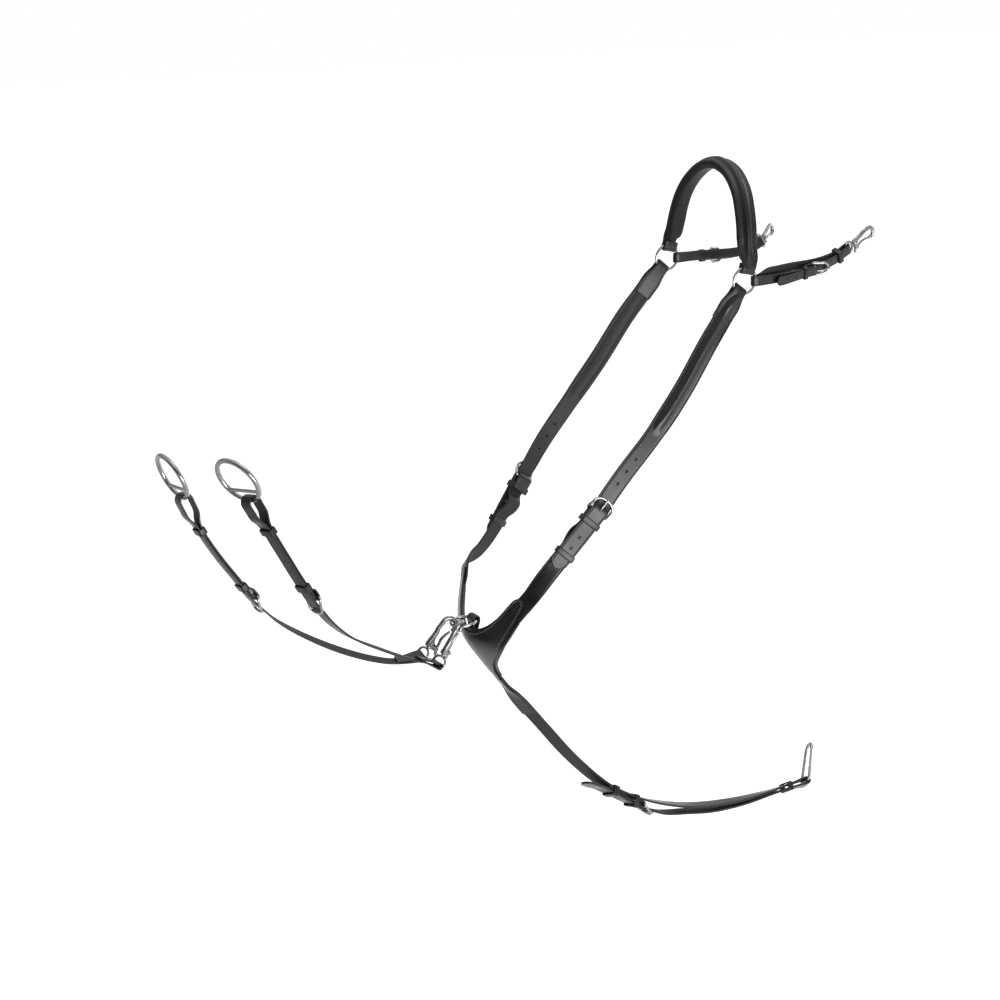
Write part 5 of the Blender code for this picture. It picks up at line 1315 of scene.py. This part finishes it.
def fork_strap(tag, base):
    """From the snap's eye through the buckle, round the rein ring and back to the bar."""
    bar_s, _, upper = fork_marks(base)
    half, end, eye, top = FORK_HALF_WIDTH, base.length, FORK_EYE_FOLD, FORK_TOP_LOOP
    stations = run(base, 34, 0, [(0, -eye), (34, -2.9)], half, 11, -1)
    fold(stations, -base.ahead(0), eye)
    lift = [(0, eye), (30, 0.0), (bar_s - 22, 0.0), (bar_s - 2, FORK_OVER), (upper + 5, FORK_OVER)]
    lift += [(upper + 26, top - 0.3), (end, top)]
    stations += run(base, 7, bar_s - 22, lift, half, 18)
    stations += run(base, bar_s - 11, end, lift, half, 11)
    fold(stations, base.ahead(end), top, 8)
    under = [(bar_s, FORK_UNDER), (bar_s + 20, -1.5), (upper + 5, -1.5), (upper + 26, -top + 0.3)]
    stations += run(base, end - 8, bar_s, [*under, (end, -top)], half, 13, -1)
    point, ahead, out = base.frame(bar_s)
    centre = point + out * (FORK_UNDER - BAR_FOLD)
    for i in range(1, 7):
        a = math.pi * i / 6
        spoke = out * math.cos(a) - ahead * math.sin(a)
        stations.append((centre + spoke * BAR_FOLD, -spoke, half, 0.0))
    stations += run(base, bar_s + 9, bar_s + 10, FORK_UNDER - 2 * BAR_FOLD, half, 9)
    smooth = fine(stations, 2.2)
    name, body = "fork_strap_" + tag, "fork_" + tag
    obj = strap(name, smooth, STRAP_THICK, body)
    punch(obj, base, (bar_s + 34, bar_s + 50, bar_s + 66), FORK_OVER, SMALL_HOLE)
    row = last_near(smooth, base.point(26), 6)
    stitches(name + "_stitches", [cross_line(row, half, STRAP_THICK)], body)


def fork_hardware(tag, base):
    bar_s, lower, upper = fork_marks(base)
    place, bar_n, body = base.place(bar_s, -1), FORK_UNDER - BAR_FOLD, "fork_" + tag
    arc = STRAP_THICK / 2 + LAYER_GAP + BUCKLE_WIRE
    buckle("fork_buckle_" + tag, place, FORK_HALF_WIDTH, 21.0, arc - bar_n, bar_n, 2.0, body)
    half, upper_name = FORK_HALF_WIDTH + CLEAR, "fork_keeper_upper_" + tag
    keeper("fork_keeper_lower_" + tag, base.place(lower), half, -3.5, 3.6, 10.0, body)
    keeper(upper_name, base.place(upper), half, -3.7, 4.0, 9.0, "fork_keeper_" + tag)


def rein_ring(tag, base):
    """The ring that a rein runs through, with a straight bar across its lower part."""
    point, ahead, out = base.frame(base.length)
    across = ahead.cross(out)
    bow = BIT_RING_RADIUS - math.sqrt(BIT_RING_RADIUS**2 - FORK_HALF_WIDTH**2)
    wire_at = FORK_TOP_LOOP - STRAP_THICK / 2 - 0.5 - BIT_RING_WIRE - bow
    centre = point + ahead * (wire_at + BIT_RING_RADIUS)
    # Slimmer where the strap's fold holds it, and fuller from 24 to 54 degrees off that point
    radii = []
    for i in range(REIN_RING_POINTS):
        from_fold = abs(180 - i * 360 / REIN_RING_POINTS)
        fuller = 0.55 * min(1.0, max(0.0, (from_fold - 24) / 30))
        radii.append(BIT_RING_WIRE + FULLER + fuller)
    bm = hoop(centre, BIT_RING_RADIUS, ahead, across, out, radii, REIN_RING_POINTS, 20)
    reach = across * math.sqrt(BIT_RING_RADIUS**2 - BIT_RING_BAR**2)
    middle = centre - ahead * BIT_RING_BAR
    ends = [middle - reach, middle, middle + reach]
    loft(tube_rings(ends, 2.2, out, False, 18), False, None, bm)
    stand_in("rein_ring_" + tag, bm, NICKEL, "rein_ring_" + tag)


# Everything
def build():
    wither_strap()
    wither_padding()
    chest_piece()
    chest_loop()
    chest_ring()
    for side, tag in ((NEAR, "near"), (FAR, "far")):
        withers_ring(side, tag)
        base = saddle_base(side)
        saddle_strap(side, tag, base)
        saddle_hardware(side, tag, base)
        saddle_snap(side, tag, base)
        base = shoulder_base(side)
        shoulder_upper(side, tag, base)
        shoulder_lower(tag, base)
        shoulder_hardware(tag, base)
        snap = fork_snap(side, tag)
        base = fork_base(side, snap)
        _, ahead, out = base.frame(0)
        snap.build(ahead.cross(out), "fork_%s_" + tag)
        fork_strap(tag, base)
        fork_hardware(tag, base)
        rein_ring(tag, base)
    base = girth_base()
    bar_s = base.length - GIRTH_BAR_BACK
    girth_strap(base, bar_s)
    girth_chape(base, bar_s)
    girth_lap(base)
    girth_hardware(base, bar_s)
    girth_snap(base)


# Stage, light and camera, in metres and degrees
AZIMUTH, ELEVATION = -29.0, 16.5
CAMERA_AIM, CAMERA_DISTANCE = (-0.3161, 0.0, -0.3919), 3.0
LENS = 86.4
FLOOR_AT = (-0.25, 0.0, -0.93)
FLOOR_HALF = 9.0


def shown(tree, share):
    """1 to the camera, a share to polished metal and glass, and 0 to everything else."""
    path = node(tree, "LightPath").outputs
    shine = maths(tree, "MAXIMUM", path["Is Glossy Ray"], path["Is Transmission Ray"])
    return maths(tree, "MAXIMUM", path["Is Camera Ray"], maths(tree, "MULTIPLY", shine, share))


def studio():
    """A white backdrop behind the object, and a dimmer room, darkest on the left, before it."""
    world = bpy.data.worlds.new("studio")
    bpy.context.scene.world = world
    world.use_nodes = True
    tree = world.node_tree
    tree.nodes.clear()
    axes = node(tree, "SeparateXYZ", node(tree, "TexCoord").outputs["Generated"]).outputs
    right, rear = (maths(tree, "MULTIPLY_ADD", axes[name], 0.5, 0.5) for name in "XY")
    side = ramp(tree, right, [(0.2, grey(0.05)), (0.5, grey(0.1)), (0.85, grey(0.5))])
    above = ramp(tree, axes["Z"], [(0.3, grey(0.0)), (0.8, grey(0.8))])
    room = node(tree, "Background", blend(tree, 1.0, side, above, "ADD"), 1.0)
    backdrop = node(tree, "Background", grey(1.0), 1.0)
    behind = ramp(tree, rear, [(0.58, grey(0.0)), (0.76, grey(0.35))])
    mix = node(tree, "MixShader", shown(tree, behind), room.outputs[0], backdrop.outputs[0])
    node(tree, "OutputWorld", mix.outputs[0])


def lamp(name, place, aim, size, radiance):
    """A soft box of a given brightness, where 1 is white."""
    data = bpy.data.lights.new(name, "AREA")
    data.shape = "RECTANGLE"
    data.size, data.size_y = size
    data.energy = radiance * math.pi * size[0] * size[1]
    obj = bpy.data.objects.new(name, data)
    obj.location = place
    obj.rotation_euler = (Vector(aim) - Vector(place)).to_track_quat("-Z", "Y").to_euler()
    bpy.context.scene.collection.objects.link(obj)


def lamps():
    aim = (-0.3, 0.0, -0.42)
    lamp("key", (-0.25, -2.75, -0.44), (-0.25, 0.0, -0.44), (2.5, 0.94), 9.0)
    lamp("top", (0.1, -0.1, 2.0), aim, (1.4, 1.0), 1.8)
    lamp("side", (2.5, 0.5, 0.3), aim, (1.3, 1.4), 2.6)


def floor():
    """White to the camera and to polished metal, pale to everything else, with its shadow."""
    bm = bmesh.new()
    bmesh.ops.create_grid(bm, x_segments=1, y_segments=1, size=FLOOR_HALF)
    mesh = bpy.data.meshes.new("floor")
    bm.to_mesh(mesh)
    bm.free()
    obj = bpy.data.objects.new("floor", mesh)
    obj.location = FLOOR_AT
    constants = {"Base Color": grey(0.5), "Roughness": 0.9, "Specular IOR Level": 0.0}
    mat, tree, shader = new_material("white_floor", {**constants, "Emission Color": grey(0.8)})
    axes = node(tree, "SeparateXYZ", node(tree, "NewGeometry").outputs["Position"]).outputs
    reach = []
    for axis, low, high, most in (("X", -1.2, 0.0, 1.0), ("Y", 0.2, 1.2, 0.4)):
        ends = (low, high, 0.2, most)
        span = node(tree, "MapRange", axes[axis], *ends, interpolation_type="SMOOTHSTEP")
        reach.append(span.outputs["Result"])
    bright = maths(tree, "MAXIMUM", *reach)
    feed(tree, shown(tree, bright), shader.inputs["Emission Strength"])
    mesh.materials.append(mat)
    bpy.context.scene.collection.objects.link(obj)


def camera():
    data = bpy.data.cameras.new("camera")
    data.lens, data.sensor_width = LENS, 36.0
    data.clip_start, data.clip_end = 0.05, 60.0
    obj = bpy.data.objects.new("camera", data)
    azimuth, elevation = math.radians(AZIMUTH), math.radians(ELEVATION)
    flat = math.cos(elevation)
    back = Vector((math.sin(azimuth) * flat, -math.cos(azimuth) * flat, math.sin(elevation)))
    obj.location = Vector(CAMERA_AIM) + back * CAMERA_DISTANCE
    obj.rotation_euler = (-back).to_track_quat("-Z", "Y").to_euler()
    bpy.context.scene.collection.objects.link(obj)
    bpy.context.scene.camera = obj


build()
studio()
floor()
camera()
lamps()
bpy.context.scene.view_settings.view_transform = "Standard"
